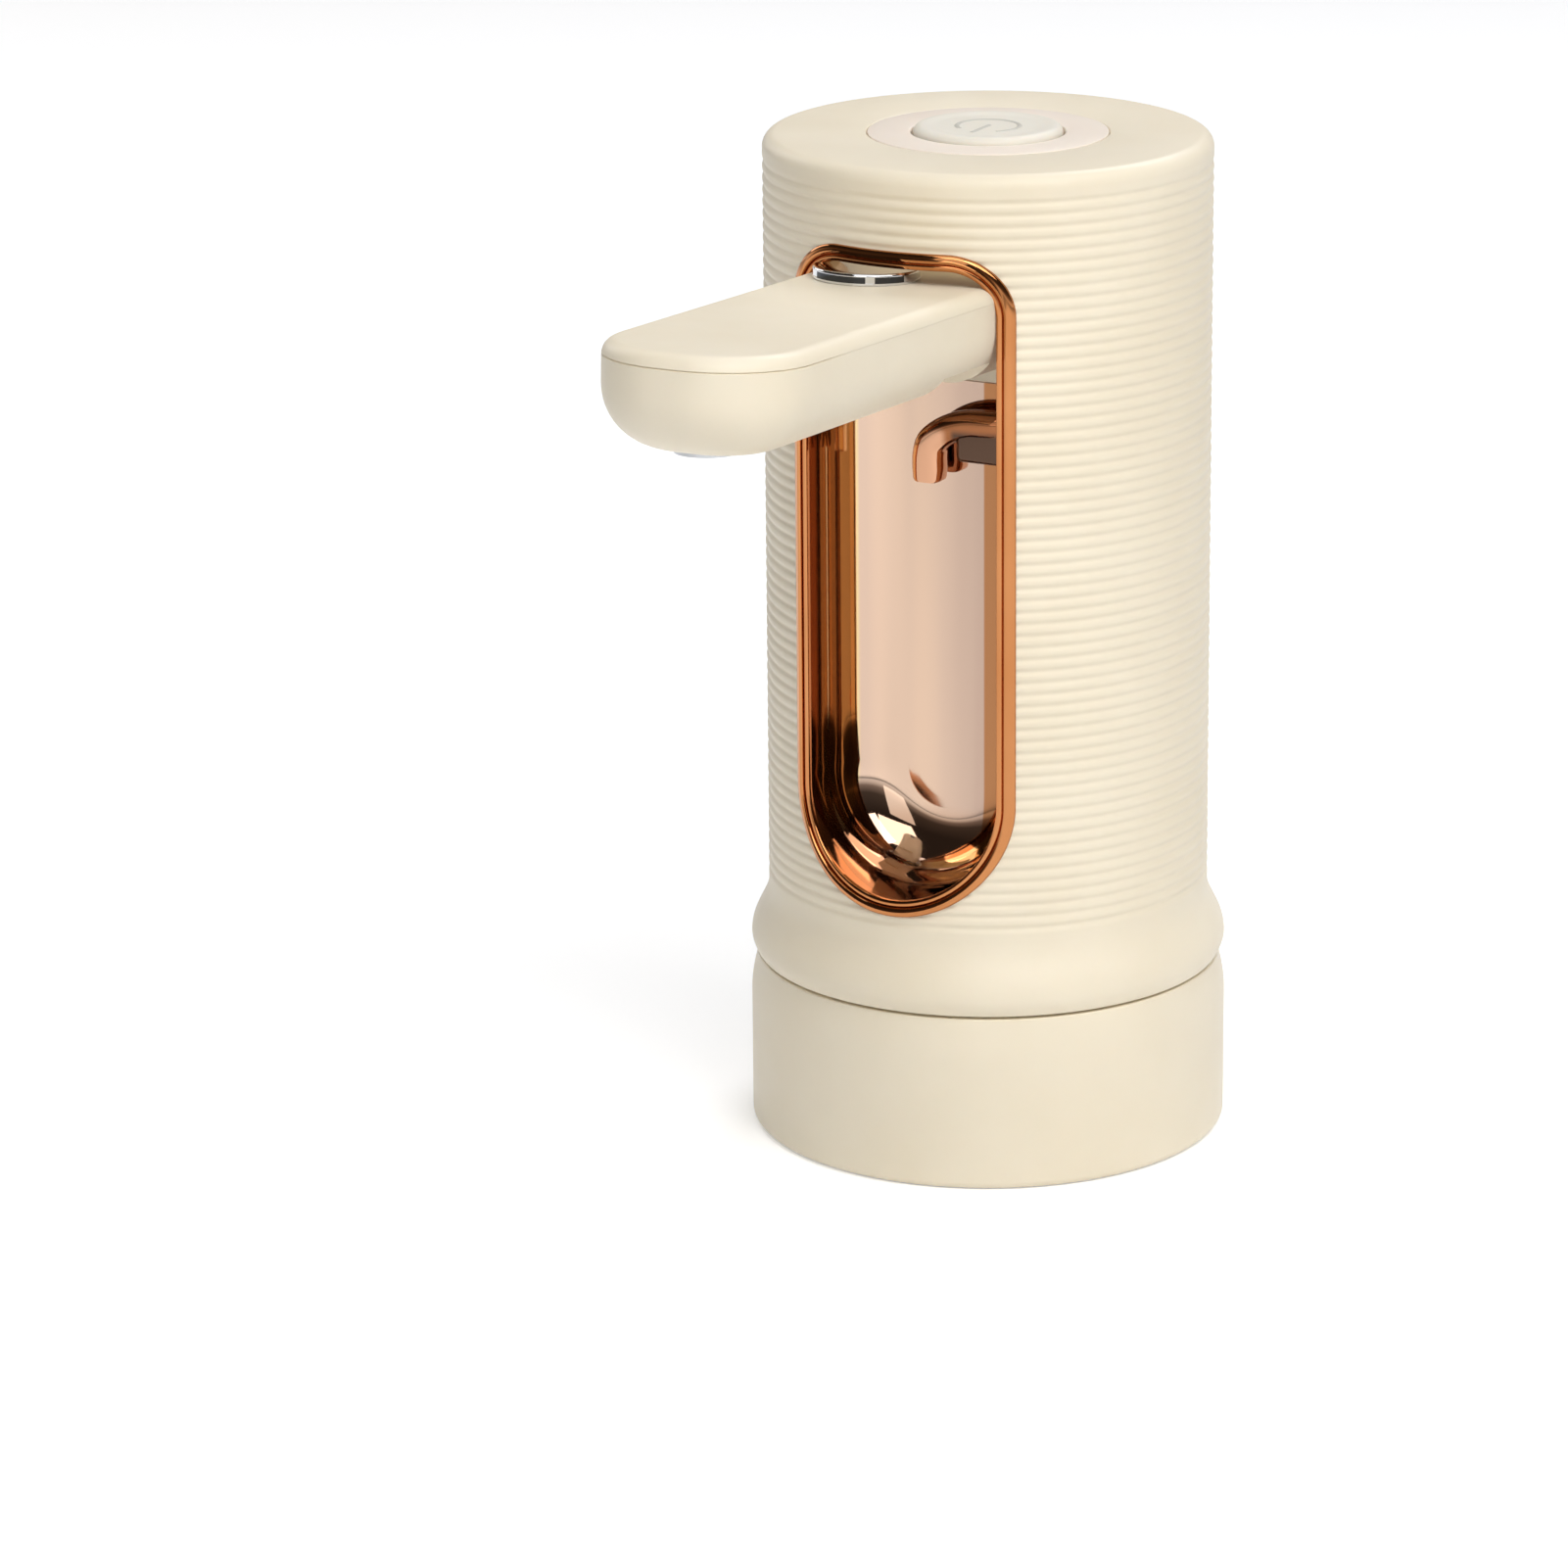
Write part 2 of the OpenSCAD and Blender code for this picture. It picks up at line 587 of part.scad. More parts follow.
// Solid form of the whole spout, drawn in by g and raised by lift
module spout_form(g = 0, lift = 0) {
    w = spout_half - g;
    edge = spout_edge - g;
    corner = tip_corner - g;
    low = -below_hinge + g;
    high = hinge_drop - g + lift;
    len = spout_len - g;
    back = hinge_drop - g;
    intersection() {
        // Section across the spout
        translate([0, back, 0]) rotate([90, 0, 0]) linear_extrude(height = len + back) {
            translate([-w, low + edge]) square([2 * w, high - low - edge - spout_round]);
            translate([-w + edge, low]) square([2 * (w - edge), high - low]);
            translate([-w + spout_round, low + edge]) square([2 * (w - spout_round), high - low - edge]);
            for (side = [-1, 1]) {
                translate([side * (w - edge), low + edge]) circle(r = edge);
                translate([side * (w - spout_round), high - spout_round]) circle(r = spout_round);
            }
        }
        // Outline from above
        translate([0, 0, low - cut]) linear_extrude(height = high - low + 2 * cut) intersection() {
            union() {
                translate([-w, -len + corner]) square([2 * w, len + back]);
                translate([-w + corner, -len]) square([2 * (w - corner), len + back]);
                for (side = [-1, 1]) translate([side * (w - corner), -len + corner]) circle(r = corner);
            }
            union() {
                translate([0, -len + tip_bow]) circle(r = tip_bow, $fn = 180);
                translate([-w, -len + tip_bow]) square([2 * w, len]);
            }
        }
        // Outline from the side, with the round hinge end
        translate([-w - cut, 0, 0]) rotate([90, 0, 90]) linear_extrude(height = 2 * w + 2 * cut)
            intersection() {
                union() {
                    circle(r = back);
                    translate([-len, low + edge]) square([len, high - low - edge]);
                    translate([-len + edge, low]) square([len - edge, high - low]);
                    translate([-len + edge, low + edge]) circle(r = edge);
                }
                translate([-len - cut, low]) square([len + back + 2 * cut, high - low]);
            }
        // Lower edge rounded on round the tip's corners
        union() {
            translate([-w - cut, -len + corner, low - cut])
                cube([2 * w + 2 * cut, len + back, high - low + 2 * cut]);
            translate([-w + corner, -len - cut, low - cut])
                cube([2 * (w - corner), corner + 2 * cut, high - low + 2 * cut]);
            for (side = [-1, 1]) translate([side * (w - corner), -len + corner, 0]) rotate_extrude() {
                translate([0, low]) square([corner - edge, high - low + cut]);
                translate([0, low + edge]) square([corner, high - low - edge + cut]);
                translate([corner - edge, low + edge]) intersection() {
                    circle(r = edge);
                    translate([0, -edge - cut]) square([edge + cut, 2 * edge + 2 * cut]);
                }
            }
        }
    }
}

module spout_shell() color([0.94, 0.9, 0.82]) opened() difference() {
    union() {
        difference() {
            intersection() {
                spout_form();
                translate([-spout_half - cut, -spout_len - cut, -spout_t])
                    cube([2 * spout_half + 2 * cut, spout_len + spout_t, spout_t + hinge_drop - cover_t]);
            }
            // Hollow, open up to the cover
            intersection() {
                spout_form(spout_wall, spout_t);
                translate([-spout_half, -spout_len, -spout_t])
                    cube([2 * spout_half, spout_len + port_y + 1.6, 3 * spout_t]);
            }
        }
        // Walls of the pocket for the catch
        intersection() {
            spout_form();
            translate([-pocket_left - pocket_wall, -pocket_near - pocket_len - pocket_wall, -spout_t])
                cube([pocket_w + 2 * pocket_wall, pocket_len + 2 * pocket_wall,
                    spout_t - below_hinge + pocket_depth + pocket_wall]);
        }
        // Stub that feeds the spout's tube
        translate([-tube_side, port_y + 2, tube_z]) rotate([90, 0, 0]) cylinder(r = stub_r, h = 6);
    }
    translate([-pocket_left, -pocket_near - pocket_len, -spout_t])
        cube([pocket_w, pocket_len, spout_t - below_hinge + pocket_depth]);
    translate([-spout_half - cut, 0, 0]) rotate([0, 90, 0])
        cylinder(r = spindle_r + run_gap, h = 2 * spout_half + 2 * cut);
    translate([-tube_side, 0, tube_z]) rotate([90, 0, 0]) cylinder(r = 0.75, h = spout_len / 2);
    translate([0, nozzle_y, -spout_t]) cylinder(r = nozzle_r + 0.05, h = spout_t);
    disc_boss(fit);
}

// Round seat that carries the chrome disc at the hinge end
module disc_boss(grow = 0) {
    translate([-disc_side, disc_y, hinge_drop - 2.2 - grow]) cylinder(r = disc_r + grow - 0.4, h = 2.2 + grow);
}

module spout_cover() color([0.95, 0.91, 0.83]) opened() difference() {
    union() {
        intersection() {
            spout_form();
            translate([-spout_half - cut, -spout_len - cut, hinge_drop - cover_t + 0.02])
                cube([2 * spout_half + 2 * cut, spout_len + spout_t, cover_t]);
        }
        disc_boss();
        // Lip that locates the cover in the shell
        translate([0, 0, hinge_drop - cover_t - 1.4]) intersection() {
            difference() {
                linear_extrude(height = 1.6) spout_top(spout_wall + 0.15);
                translate([0, 0, -cut]) linear_extrude(height = 4) spout_top(spout_wall + 1.15);
            }
            translate([-spout_half, -spout_len, -cut])
                cube([2 * spout_half, spout_len + port_y + 1.2, spout_t]);
        }
    }
    translate([-disc_side, disc_y, hinge_drop - 1.6]) cylinder(r = 1.55, h = 3);
}

// Outline of the spout from above, drawn in by g
module spout_top(g) {
    projection_w = spout_half - g;
    corner = tip_corner - g;
    len = spout_len - g;
    intersection() {
        union() {
            translate([-projection_w, -len + corner]) square([2 * projection_w, len]);
            translate([-projection_w + corner, -len]) square([2 * (projection_w - corner), len]);
            for (side = [-1, 1]) translate([side * (projection_w - corner), -len + corner])
                circle(r = corner);
        }
        union() {
            translate([0, -len + tip_bow]) circle(r = tip_bow, $fn = 180);
            translate([-projection_w, -len + tip_bow]) square([2 * projection_w, len]);
        }
    }
}

module chrome_disc() color([0.85, 0.86, 0.88]) opened() translate([-disc_side, disc_y, 0]) {
    translate([0, 0, hinge_drop + 0.01]) cylinder(r = disc_r, h = disc_h);
    translate([0, 0, hinge_drop - 1.4]) cylinder(r = 1.5, h = 1.6);
}

module spout_tube() color([0.9, 0.9, 0.88]) opened()
    translate([-tube_side, port_y + 1.6 - 0.1, tube_z]) rotate([90, 0, 0]) difference() {
        cylinder(r = spout_tube_r, h = port_y - nozzle_y - nozzle_r + 0.8);
        translate([0, 0, -cut]) cylinder(r = stub_r + 0.02, h = spout_len);
    }

module outlet_nozzle() color([0.8, 0.8, 0.82]) opened() difference() {
    union() {
        translate([0, nozzle_y, -below_hinge - 0.35]) cylinder(r = nozzle_r, h = 6);
        translate([0, nozzle_y, -below_hinge + spout_wall + 0.2]) cylinder(r = nozzle_r + 0.5, h = 0.8);
        // Side arm with the stub that the tube is pushed on
        translate([-tube_side - 0.9, nozzle_y, tube_z]) rotate([0, 90, 0])
            cylinder(r = stub_r + 0.35, h = tube_side + 0.9);
        translate([-tube_side, nozzle_y, tube_z]) rotate([-90, 0, 0])
            cylinder(r = stub_r, h = nozzle_r + 3.4);
    }
    translate([0, nozzle_y, -below_hinge - cut]) cylinder(r = nozzle_r - 1, h = 5);
    translate([-tube_side, nozzle_y, tube_z]) rotate([0, 90, 0]) cylinder(r = 0.75, h = tube_side);
    translate([-tube_side, nozzle_y, tube_z]) rotate([-90, 0, 0]) cylinder(r = 0.65, h = nozzle_r + 4);
}

module button_plate() color([0.94, 0.88, 0.82]) rotate_extrude() difference() {
    union() {
        translate([0, plate_z]) square([plate_r, plate_t]);
        translate([0, skirt_z]) square([skirt_r, plate_z - skirt_z + 0.1]);
    }
    translate([-1, skirt_z - cut]) square([button_r + button_gap + 1, body_top]);
    translate([-1, skirt_z - cut])
        square([flange_r + button_gap + 1, flange_z + flange_t + 0.1 - skirt_z + cut]);
}

module power_button() color([0.86, 0.88, 0.85]) {
    rotate_extrude() difference() {
        union() {
            translate([0, flange_z]) square([flange_r, flange_t]);
            translate([0, flange_z]) square([button_r, button_top - 0.8 - flange_z]);
            translate([0, button_top - 1]) square([button_r - 0.8, 1]);
            translate([button_r - 0.8, button_top - 0.8]) circle(r = 0.8);
        }
        // Hollow underside
        translate([3, flange_z - cut]) square([button_r - 4, cut + 1.4]);
    }
    translate([0, 0, plunger_top]) cylinder(r = plunger_r + 0.4, h = flange_z - plunger_top + 0.2);
}

module switch_plunger() color([0.15, 0.15, 0.15])
    translate([0, 0, plunger_top - plunger_h]) cylinder(r = plunger_r, h = plunger_h);

module switch_body() color([0.3, 0.3, 0.32]) difference() {
    translate([-switch_w / 2, -switch_w / 2, switch_z]) cube([switch_w, switch_w, switch_top - switch_z]);
    translate([0, 0, switch_z + 0.3]) cylinder(r = plunger_r + 0.1, h = body_top);
}

module switch_board() color([0.12, 0.35, 0.22]) difference() {
    translate([0, 0, ledge_top]) cylinder(r = 9, h = board_t);
    translate([-12, -12, ledge_top - cut]) cube([24, 12 + block_back + 0.2, 4]);
}

module status_led() color([0.9, 0.92, 0.95])
    translate([4.6, -1, switch_z]) cube([1.6, 2, 1]);

module switch_flex() color([0.7, 0.45, 0.15]) {
    flex_y = control_y - 0.7;
    translate([flex_x, 6.4, ledge_top - 0.32]) cube([flex_w, flex_y - 6.4 + 0.3, 0.3]);
    translate([flex_x, flex_y, control_top - 6]) cube([flex_w, 0.3, ledge_top - control_top + 6 - 0.02]);
}

// Chassis: upright plate with foot, ledge, cradles, pump shelf and board posts
module chassis() color([0.88, 0.87, 0.84]) difference() {
    union() {
        intersection() {
            union() {
                translate([-chassis_half, chassis_y, foot_z])
                    cube([2 * chassis_half, chassis_t, ledge_top - foot_z]);
                translate([-11, chassis_y, foot_z + 0.02]) cube([22, 7, foot_top - foot_z]);
                translate([-9, chassis_y, ledge_top - 1.6]) cube([18, 6 - chassis_y, 1.58]);
            }
            inside_body(0, body_top, 0.1);
        }
        // Cradles of the battery and the motor
        for (z = [cell_z + 6, cell_z + cell_h - 10])
            translate([cell_x - cell_r + 0.9, chassis_back - 0.1, z]) cube([2 * cell_r - 4.2, cell_r, 4]);
        translate([pump_x - motor_r + 2.2, chassis_back - 0.1, motor_z + 8])
            cube([2 * motor_r - 3.4, motor_r, 4]);
        // Shelf under the pump
        intersection() {
            translate([pump_x - head_r + 0.6, chassis_back - 0.1, shelf_z])
                cube([2 * head_r, pump_y - chassis_back + 6, shelf_top - shelf_z]);
            inside_body(0, body_top, 0.1);
        }
        // Posts of the control board
        for (z = post_z) translate([0, chassis_back - 0.1, z]) rotate([-90, 0, 0])
            cylinder(r = 2, h = control_y - chassis_back + 0.08);
    }
    translate([cell_x, cell_y, foot_z]) cylinder(r = cell_r + fit, h = body_top);
    translate([pump_x, pump_y, shelf_top]) cylinder(r = motor_r + fit, h = body_top);
    // Way for the air tube
    translate([valve_x, valve_y, shelf_z - cut]) cylinder(r = tube_r + 0.4, h = 5);
    for (z = liner_boss_z) translate([0, chassis_y - cut, z]) rotate([-90, 0, 0])
        cylinder(r = screw_r + 0.2, h = chassis_t + 2 * cut);
    for (side = [-1, 1]) {
        translate([side * hinge_screw_x, chassis_y - cut, hinge_screw_z]) rotate([-90, 0, 0])
            cylinder(r = screw_r + 0.2, h = chassis_t + 2 * cut);
        translate([side * 6, chassis_y + 4.4, foot_z - cut]) cylinder(r = screw_r + 0.2, h = 5);
    }
    for (z = post_z) translate([0, control_y - 5, z]) rotate([-90, 0, 0])
        cylinder(r = screw_r, h = 6);
}

module battery_cell() color([0.2, 0.45, 0.75]) translate([cell_x, cell_y, cell_z]) {
    cylinder(r = cell_r, h = cell_h - 1);
    translate([0, 0, cell_h - 1.2]) cylinder(r = 2.6, h = 1.2);
}

// Nickel strips from the cell's ends to the control board
module battery_tabs() color([0.8, 0.8, 0.78]) {
    tab_w = 3;
    tab_t = 0.3;
    tab_x = cell_x + 1;
    strip_y = control_y - tab_t - 0.02;
    for (z = [cell_z + cell_h + 0.02, cell_z - tab_t - 0.02])
        translate([tab_x, cell_y - 2, z]) cube([tab_w, strip_y + tab_t - cell_y + 2, tab_t]);
    for (z = [cell_z + cell_h + 0.02 - 4, cell_z - 4.3])
        translate([tab_x, strip_y, z]) cube([tab_w, tab_t, 4.3]);
}

module pump_motor_case() color([0.7, 0.71, 0.73]) translate([pump_x, pump_y, motor_z]) difference() {
    cylinder(r = motor_r, h = motor_h);
    translate([0, 0, 1]) cylinder(r = motor_r - 0.8, h = motor_h - 2);
    translate([0, 0, -cut]) cylinder(r = shaft_r + run_gap, h = motor_h + 2 * cut);
}

module motor_magnets() color([0.25, 0.25, 0.27]) translate([pump_x, pump_y, motor_z + 3])
    for (side = [0, 180]) rotate(side) intersection() {
        difference() {
            cylinder(r = motor_r - 0.82, h = motor_h - 6);
            translate([0, 0, -cut]) cylinder(r = motor_r - 2, h = motor_h);
        }
        translate([1, -4, -cut]) cube([motor_r, 8, motor_h]);
    }

module motor_rotor() color([0.65, 0.4, 0.25]) translate([pump_x, pump_y, 0]) {
    translate([0, 0, crank_z]) cylinder(r = shaft_r, h = motor_z + motor_h + 0.8 - crank_z);
    translate([0, 0, motor_z + 4]) difference() {
        cylinder(r = motor_r - 2.4, h = motor_h - 8);
        for (a = [0:120:240]) rotate(a) translate([motor_r - 3.6, -0.6, -cut])
            cube([motor_r, 1.2, motor_h]);
    }
}

module pump_eccentric() color([0.85, 0.85, 0.88]) difference() {
    translate([pump_x + crank, pump_y, crank_z]) cylinder(r = 3, h = crank_h);
    translate([pump_x, pump_y, crank_z - cut]) cylinder(r = shaft_r, h = crank_h + 2 * cut);
}

module pump_head() color([0.16, 0.17, 0.18]) difference() {
    union() {
        translate([pump_x, pump_y, head_z]) cylinder(r = head_r, h = head_h - 0.02);
        translate([valve_x, valve_y, nipple_end]) cylinder(r = barb_r, h = head_z - nipple_end + 0.5);
    }
    // Crank room above, valve room below
    translate([pump_x, pump_y, crank_z - 1]) cylinder(r = 5.6, h = head_h);
    translate([pump_x, pump_y, head_z + 1.5]) cylinder(r = 5, h = 2.5);
    translate([pump_x, pump_y, head_z + 4]) cylinder(r = 6.6, h = 2.4);
    translate([pump_x, pump_y, head_z + 4]) cylinder(r = 4.6, h = head_h);
    translate([valve_x, valve_y, nipple_end - cut]) cylinder(r = 0.75, h = head_z + 3 - nipple_end);
    translate([pump_x, pump_y, head_z + 2.2]) rotate([0, 90, 0])
        cylinder(r = 0.6, h = valve_x - pump_x);
}

module pump_diaphragm() color([0.75, 0.3, 0.25]) translate([pump_x, pump_y, head_z + 4.1]) {
    cylinder(r = 6.5, h = 1);
    cylinder(r = 2.4, h = crank_z - 0.4 - head_z - 4.1);
}

module pump_pad() color([0.3, 0.3, 0.3]) difference() {
    translate([pump_x, pump_y, shelf_top + 0.02]) cylinder(r = head_r - 0.8, h = pad_t - 0.04);
    translate([valve_x, valve_y, shelf_top - cut]) cylinder(r = tube_r + 0.4, h = 4);
}

module air_tube() color([0.9, 0.9, 0.88]) translate([valve_x, valve_y, valve_top + 0.1]) difference() {
    cylinder(r = tube_r, h = head_z - valve_top - 0.3);
    translate([0, 0, -cut]) cylinder(r = tube_bore, h = 20);
}

module check_valve() color([0.92, 0.92, 0.9]) translate([valve_x, valve_y, manifold_top]) difference() {
    union() {
        translate([0, 0, 0.02]) cylinder(r = 3.2, h = valve_h);
        cylinder(r = barb_r, h = valve_h + valve_barb);
        translate([0, 0, -1.4]) cylinder(r = 2.6, h = 2);
    }
    translate([0, 0, -2]) cylinder(r = 0.75, h = 20);
    translate([0, 0, -2]) cylinder(r = 1.9, h = 2.6);
}

module duckbill() color([0.8, 0.25, 0.2]) translate([valve_x, valve_y, manifold_top - 1.45]) difference() {
    union() {
        translate([0, 0, 0.4]) cylinder(r = 1.8, h = 1);
        translate([-0.5, -1, -1.6]) cube([1, 2, 2.4]);
    }
    translate([0, 0, 0.6]) cylinder(r = 0.7, h = 2);
}

module riser_tube() color([0.9, 0.9, 0.88]) translate([riser_x, riser_y, manifold_top + 0.1]) difference() {
    cylinder(r = tube_r, h = block_low - manifold_top - 0.2);
    translate([0, 0, -cut]) cylinder(r = tube_bore, h = body_top);
}

module base_manifold() color([0.9, 0.88, 0.84]) difference() {
    union() {
        translate([0, 0, manifold_z]) cylinder(r = inner_r, h = manifold_t);
        translate([riser_x, riser_y, manifold_top - 0.5]) cylinder(r = barb_r, h = 4.5);
    }
    mid = manifold_z + 3.6;
    // Wine: from the hose nipple across to the riser
    translate([0, 0, manifold_z - cut]) cylinder(r = 2.95, h = cut + 4.6);
    translate([riser_x, riser_y, mid - 0.7]) cylinder(r = wine_r + 0.15, h = manifold_t + 4);
    rotate(atan2(riser_y, riser_x)) translate([0, 0, mid + 0.6]) rotate([0, 90, 0])
        cylinder(r = wine_r, h = norm([riser_x, riser_y]));
    // Air: from the check valve down to the seal
    translate([valve_x, valve_y, manifold_top - 1.5]) cylinder(r = 2.65, h = 4);
    translate([valve_x, valve_y, manifold_top - 3.3]) cylinder(r = 1.4, h = 4);
    translate([valve_x, valve_y, manifold_z + 1.1]) cylinder(r = air_r + 0.15, h = 4);
    rotate(atan2(valve_y, valve_x)) translate([air_port, 0, manifold_z + 2]) rotate([0, 90, 0])
        cylinder(r = air_r, h = norm([valve_x, valve_y]) - air_port);
    rotate(atan2(valve_y, valve_x)) translate([air_port, 0, manifold_z - cut])
        cylinder(r = air_r + 0.15, h = cut + 2.9);
    for (a = concat(boss_angles, [-90])) rotate(a) translate([boss_path, 0, manifold_z - cut])
        cylinder(r = screw_r + 0.15, h = manifold_t + 2 * cut);
    for (side = [-1, 1]) translate([side * 6, chassis_y + 4.4, manifold_top - 3])
        cylinder(r = screw_r, h = 4);
}

// Silicone seal: flange clamped under the manifold, waist through the socket's roof, plug below
module neck_seal() color([0.55, 0.56, 0.58]) difference() {
    rotate_extrude() difference() {
        union() {
            translate([0, socket_top + 0.02]) square([plug_r + 3.4, seal_flange_h]);
            translate([0, socket_depth - 0.1]) square([plug_r + 0.95, socket_roof + 0.2]);
            translate([0, socket_depth - 1.5]) square([plug_r + 3.2, 1.48]);
            translate([0, plug_z]) square([plug_r, socket_depth - plug_z]);
            for (z = [5.6, 7.6]) translate([plug_r - 0.1, plug_z + z]) circle(r = seal_rib, $fn = 24);
        }
        translate([-1, 0]) square([2.95 + 1, socket_top + 4]);
        // Room for the hose on its nipple
        translate([-1, 0]) square([4.8 + 1, plug_z + 6]);
    }
    rotate(atan2(valve_y, valve_x)) translate([air_port, 0, 0]) cylinder(r = air_r + 0.2, h = socket_top + 4);
}

module hose_nipple() color([0.78, 0.79, 0.8]) difference() {
    union() {
        translate([0, 0, plug_z + 5.6]) cylinder(r = 2.93, h = manifold_z + 4.5 - plug_z - 5.6);
        translate([0, 0, plug_z + 0.3]) cylinder(r = 2.5, h = 6);
    }
    translate([0, 0, 0]) cylinder(r = 1.5, h = body_top);
}

module control_board() color([0.12, 0.35, 0.22]) difference() {
    translate([-control_half, control_y, control_z]) cube([2 * control_half, board_t, control_top - control_z]);
    for (z = post_z) translate([0, control_y - cut, z]) rotate([-90, 0, 0])
        cylinder(r = screw_r + 0.2, h = board_t + 2 * cut);
}

module board_chips() color([0.1, 0.1, 0.11]) {
    face = control_y + board_t + 0.02;
    translate([-2.5, face, usb_z + 8]) cube([5, 0.9, 5]);
    translate([-5.5, face, usb_z + 19]) cube([3, 1.1, 3]);
    translate([1, face, usb_z + 18]) cube([4, 1.3, 4]);
    for (i = [0:3]) translate([-5 + i * 2.6, face, usb_z + 27]) cube([1.6, 0.6, 0.8]);
}

module usb_outline(g, h) {
    linear_extrude(height = h) {
        for (side = [-1, 1]) translate([side * (usb_w - usb_h) / 2, 0]) circle(r = usb_h / 2 + g);
        translate([-(usb_w - usb_h) / 2, -usb_h / 2 - g]) square([usb_w - usb_h, usb_h + 2 * g]);
    }
}

module usb_socket() color([0.72, 0.73, 0.75]) {
    start = control_y + board_t + 0.02;
    end = bore_r + body_wall - 0.8;
    translate([0, end, usb_z]) rotate([90, 0, 0]) difference() {
        usb_outline(0, end - start);
        translate([0, 0, -cut]) usb_outline(-0.35, end - start);
    }
    translate([-3.2, start, usb_z - 0.35]) cube([6.4, end - start - 1.2, 0.7]);
}

// Pan head screw along +Z, head below the origin
module screw(len) {
    translate([0, 0, -1.4]) cylinder(r = screw_r * 1.9, h = 1.4);
    cylinder(r = screw_r, h = len);
}

module board_screws() color([0.6, 0.6, 0.62])
    for (z = post_z) translate([0, control_y + board_t, z]) rotate([90, 0, 0]) screw(5);

module liner_screws() color([0.6, 0.6, 0.62])
    for (z = liner_boss_z) translate([0, chassis_back, z]) rotate([90, 0, 0]) screw(4);

module hinge_screws() color([0.6, 0.6, 0.62])
    for (side = [-1, 1]) translate([side * hinge_screw_x, chassis_back, hinge_screw_z])
        rotate([90, 0, 0]) screw(4);

module foot_screws() color([0.6, 0.6, 0.62])
    for (side = [-1, 1]) translate([side * 6, chassis_y + 4.4, foot_top + 0.02]) rotate([180, 0, 0]) screw(4);

module base_screws() color([0.6, 0.6, 0.62])
    for (a = concat(boss_angles, [-90])) rotate(a) translate([boss_path, 0, manifold_z])
        screw(manifold_t + 1.4);

body_shell();
base_cup();
window_rim();
recess_liner();
spout_catch();
hinge_block();
hinge_spindle();
spindle_seals();
friction_washers();
spout_shell();
spout_cover();
chrome_disc();
spout_tube();
outlet_nozzle();
button_plate();
power_button();
switch_plunger();
switch_body();
switch_board();
switch_flex();
status_led();
chassis();
battery_cell();
battery_tabs();
pump_motor_case();
motor_magnets();
motor_rotor();
pump_eccentric();
pump_head();
pump_diaphragm();
pump_pad();
air_tube();
check_valve();
duckbill();
riser_tube();
base_manifold();
neck_seal();
hose_nipple();
control_board();
board_chips();
usb_socket();
board_screws();
liner_screws();
hinge_screws();
foot_screws();
base_screws();
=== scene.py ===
import json
import math
import bpy
import bmesh
from mathutils import Matrix, Vector

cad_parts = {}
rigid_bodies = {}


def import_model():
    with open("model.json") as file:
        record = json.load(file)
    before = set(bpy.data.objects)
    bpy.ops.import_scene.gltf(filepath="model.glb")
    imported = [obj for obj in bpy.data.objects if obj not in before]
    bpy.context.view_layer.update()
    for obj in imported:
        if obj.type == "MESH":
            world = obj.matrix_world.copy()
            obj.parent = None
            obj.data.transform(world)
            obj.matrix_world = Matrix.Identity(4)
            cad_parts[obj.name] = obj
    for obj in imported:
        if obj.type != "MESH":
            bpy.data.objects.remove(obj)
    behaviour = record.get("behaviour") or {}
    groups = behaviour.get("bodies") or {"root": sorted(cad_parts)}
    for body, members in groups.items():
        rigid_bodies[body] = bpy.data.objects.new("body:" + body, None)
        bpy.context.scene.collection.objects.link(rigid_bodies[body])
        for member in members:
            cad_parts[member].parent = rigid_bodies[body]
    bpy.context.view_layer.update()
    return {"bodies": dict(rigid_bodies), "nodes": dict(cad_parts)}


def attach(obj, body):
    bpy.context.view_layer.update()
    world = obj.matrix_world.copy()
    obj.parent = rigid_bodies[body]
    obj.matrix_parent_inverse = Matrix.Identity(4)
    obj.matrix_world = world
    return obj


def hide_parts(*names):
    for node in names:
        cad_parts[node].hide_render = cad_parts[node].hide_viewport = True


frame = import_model()
print("frame loaded:", len(frame["nodes"]), "nodes")

mm = 0.001

# The sizes below are in mm and follow the model's own
body = {"radius": 23.0, "bore": 21.2, "top": 105.3, "topRound": 1.4, "roof": 102.7, "roofRound": 1.0,
        "seatRadius": 12.4, "seatDepth": 1.6, "seatEdge": 0.15, "holeRadius": 10.7, "shellLow": 18.5,
        "ringHigh": 20.3, "ringRadius": 24.84, "ringLead": 0.65, "ringUnder": 0.25, "ringEdge": 0.05,
        "flare": 5.7, "ribFirst": 27.5, "ribPitch": 1.23, "ribDepth": 0.18, "ribCount": 61,
        "spigotLow": 14.3, "spigotRadius": 22.75, "spigotEdge": 0.3, "beadOut": 0.35,
        "beadDown": (2.95, 2.6, 2.25), "underLift": 0.02}
opening = {"half": 11.3, "top": 96.4, "corner": 5.4, "bowl": 40.5, "back": -9.6, "edge": 6.7}
hinge = {"y": -13.8, "z": 87.0, "tilt": -3.3}


def linear(red, green, blue):
    def one(v):
        v = v / 255
        return v / 12.92 if v <= 0.04045 else ((v + 0.055) / 1.055) ** 2.4
    return (one(red), one(green), one(blue), 1.0)


# Mesh helpers
def newPiece(name, points, faces):
    mesh = bpy.data.meshes.new(name)
    mesh.from_pydata([(x * mm, y * mm, z * mm) for x, y, z in points], [], faces)
    piece = bpy.data.objects.new(name, mesh)
    bpy.context.scene.collection.objects.link(piece)
    tidyMesh(piece)
    return piece


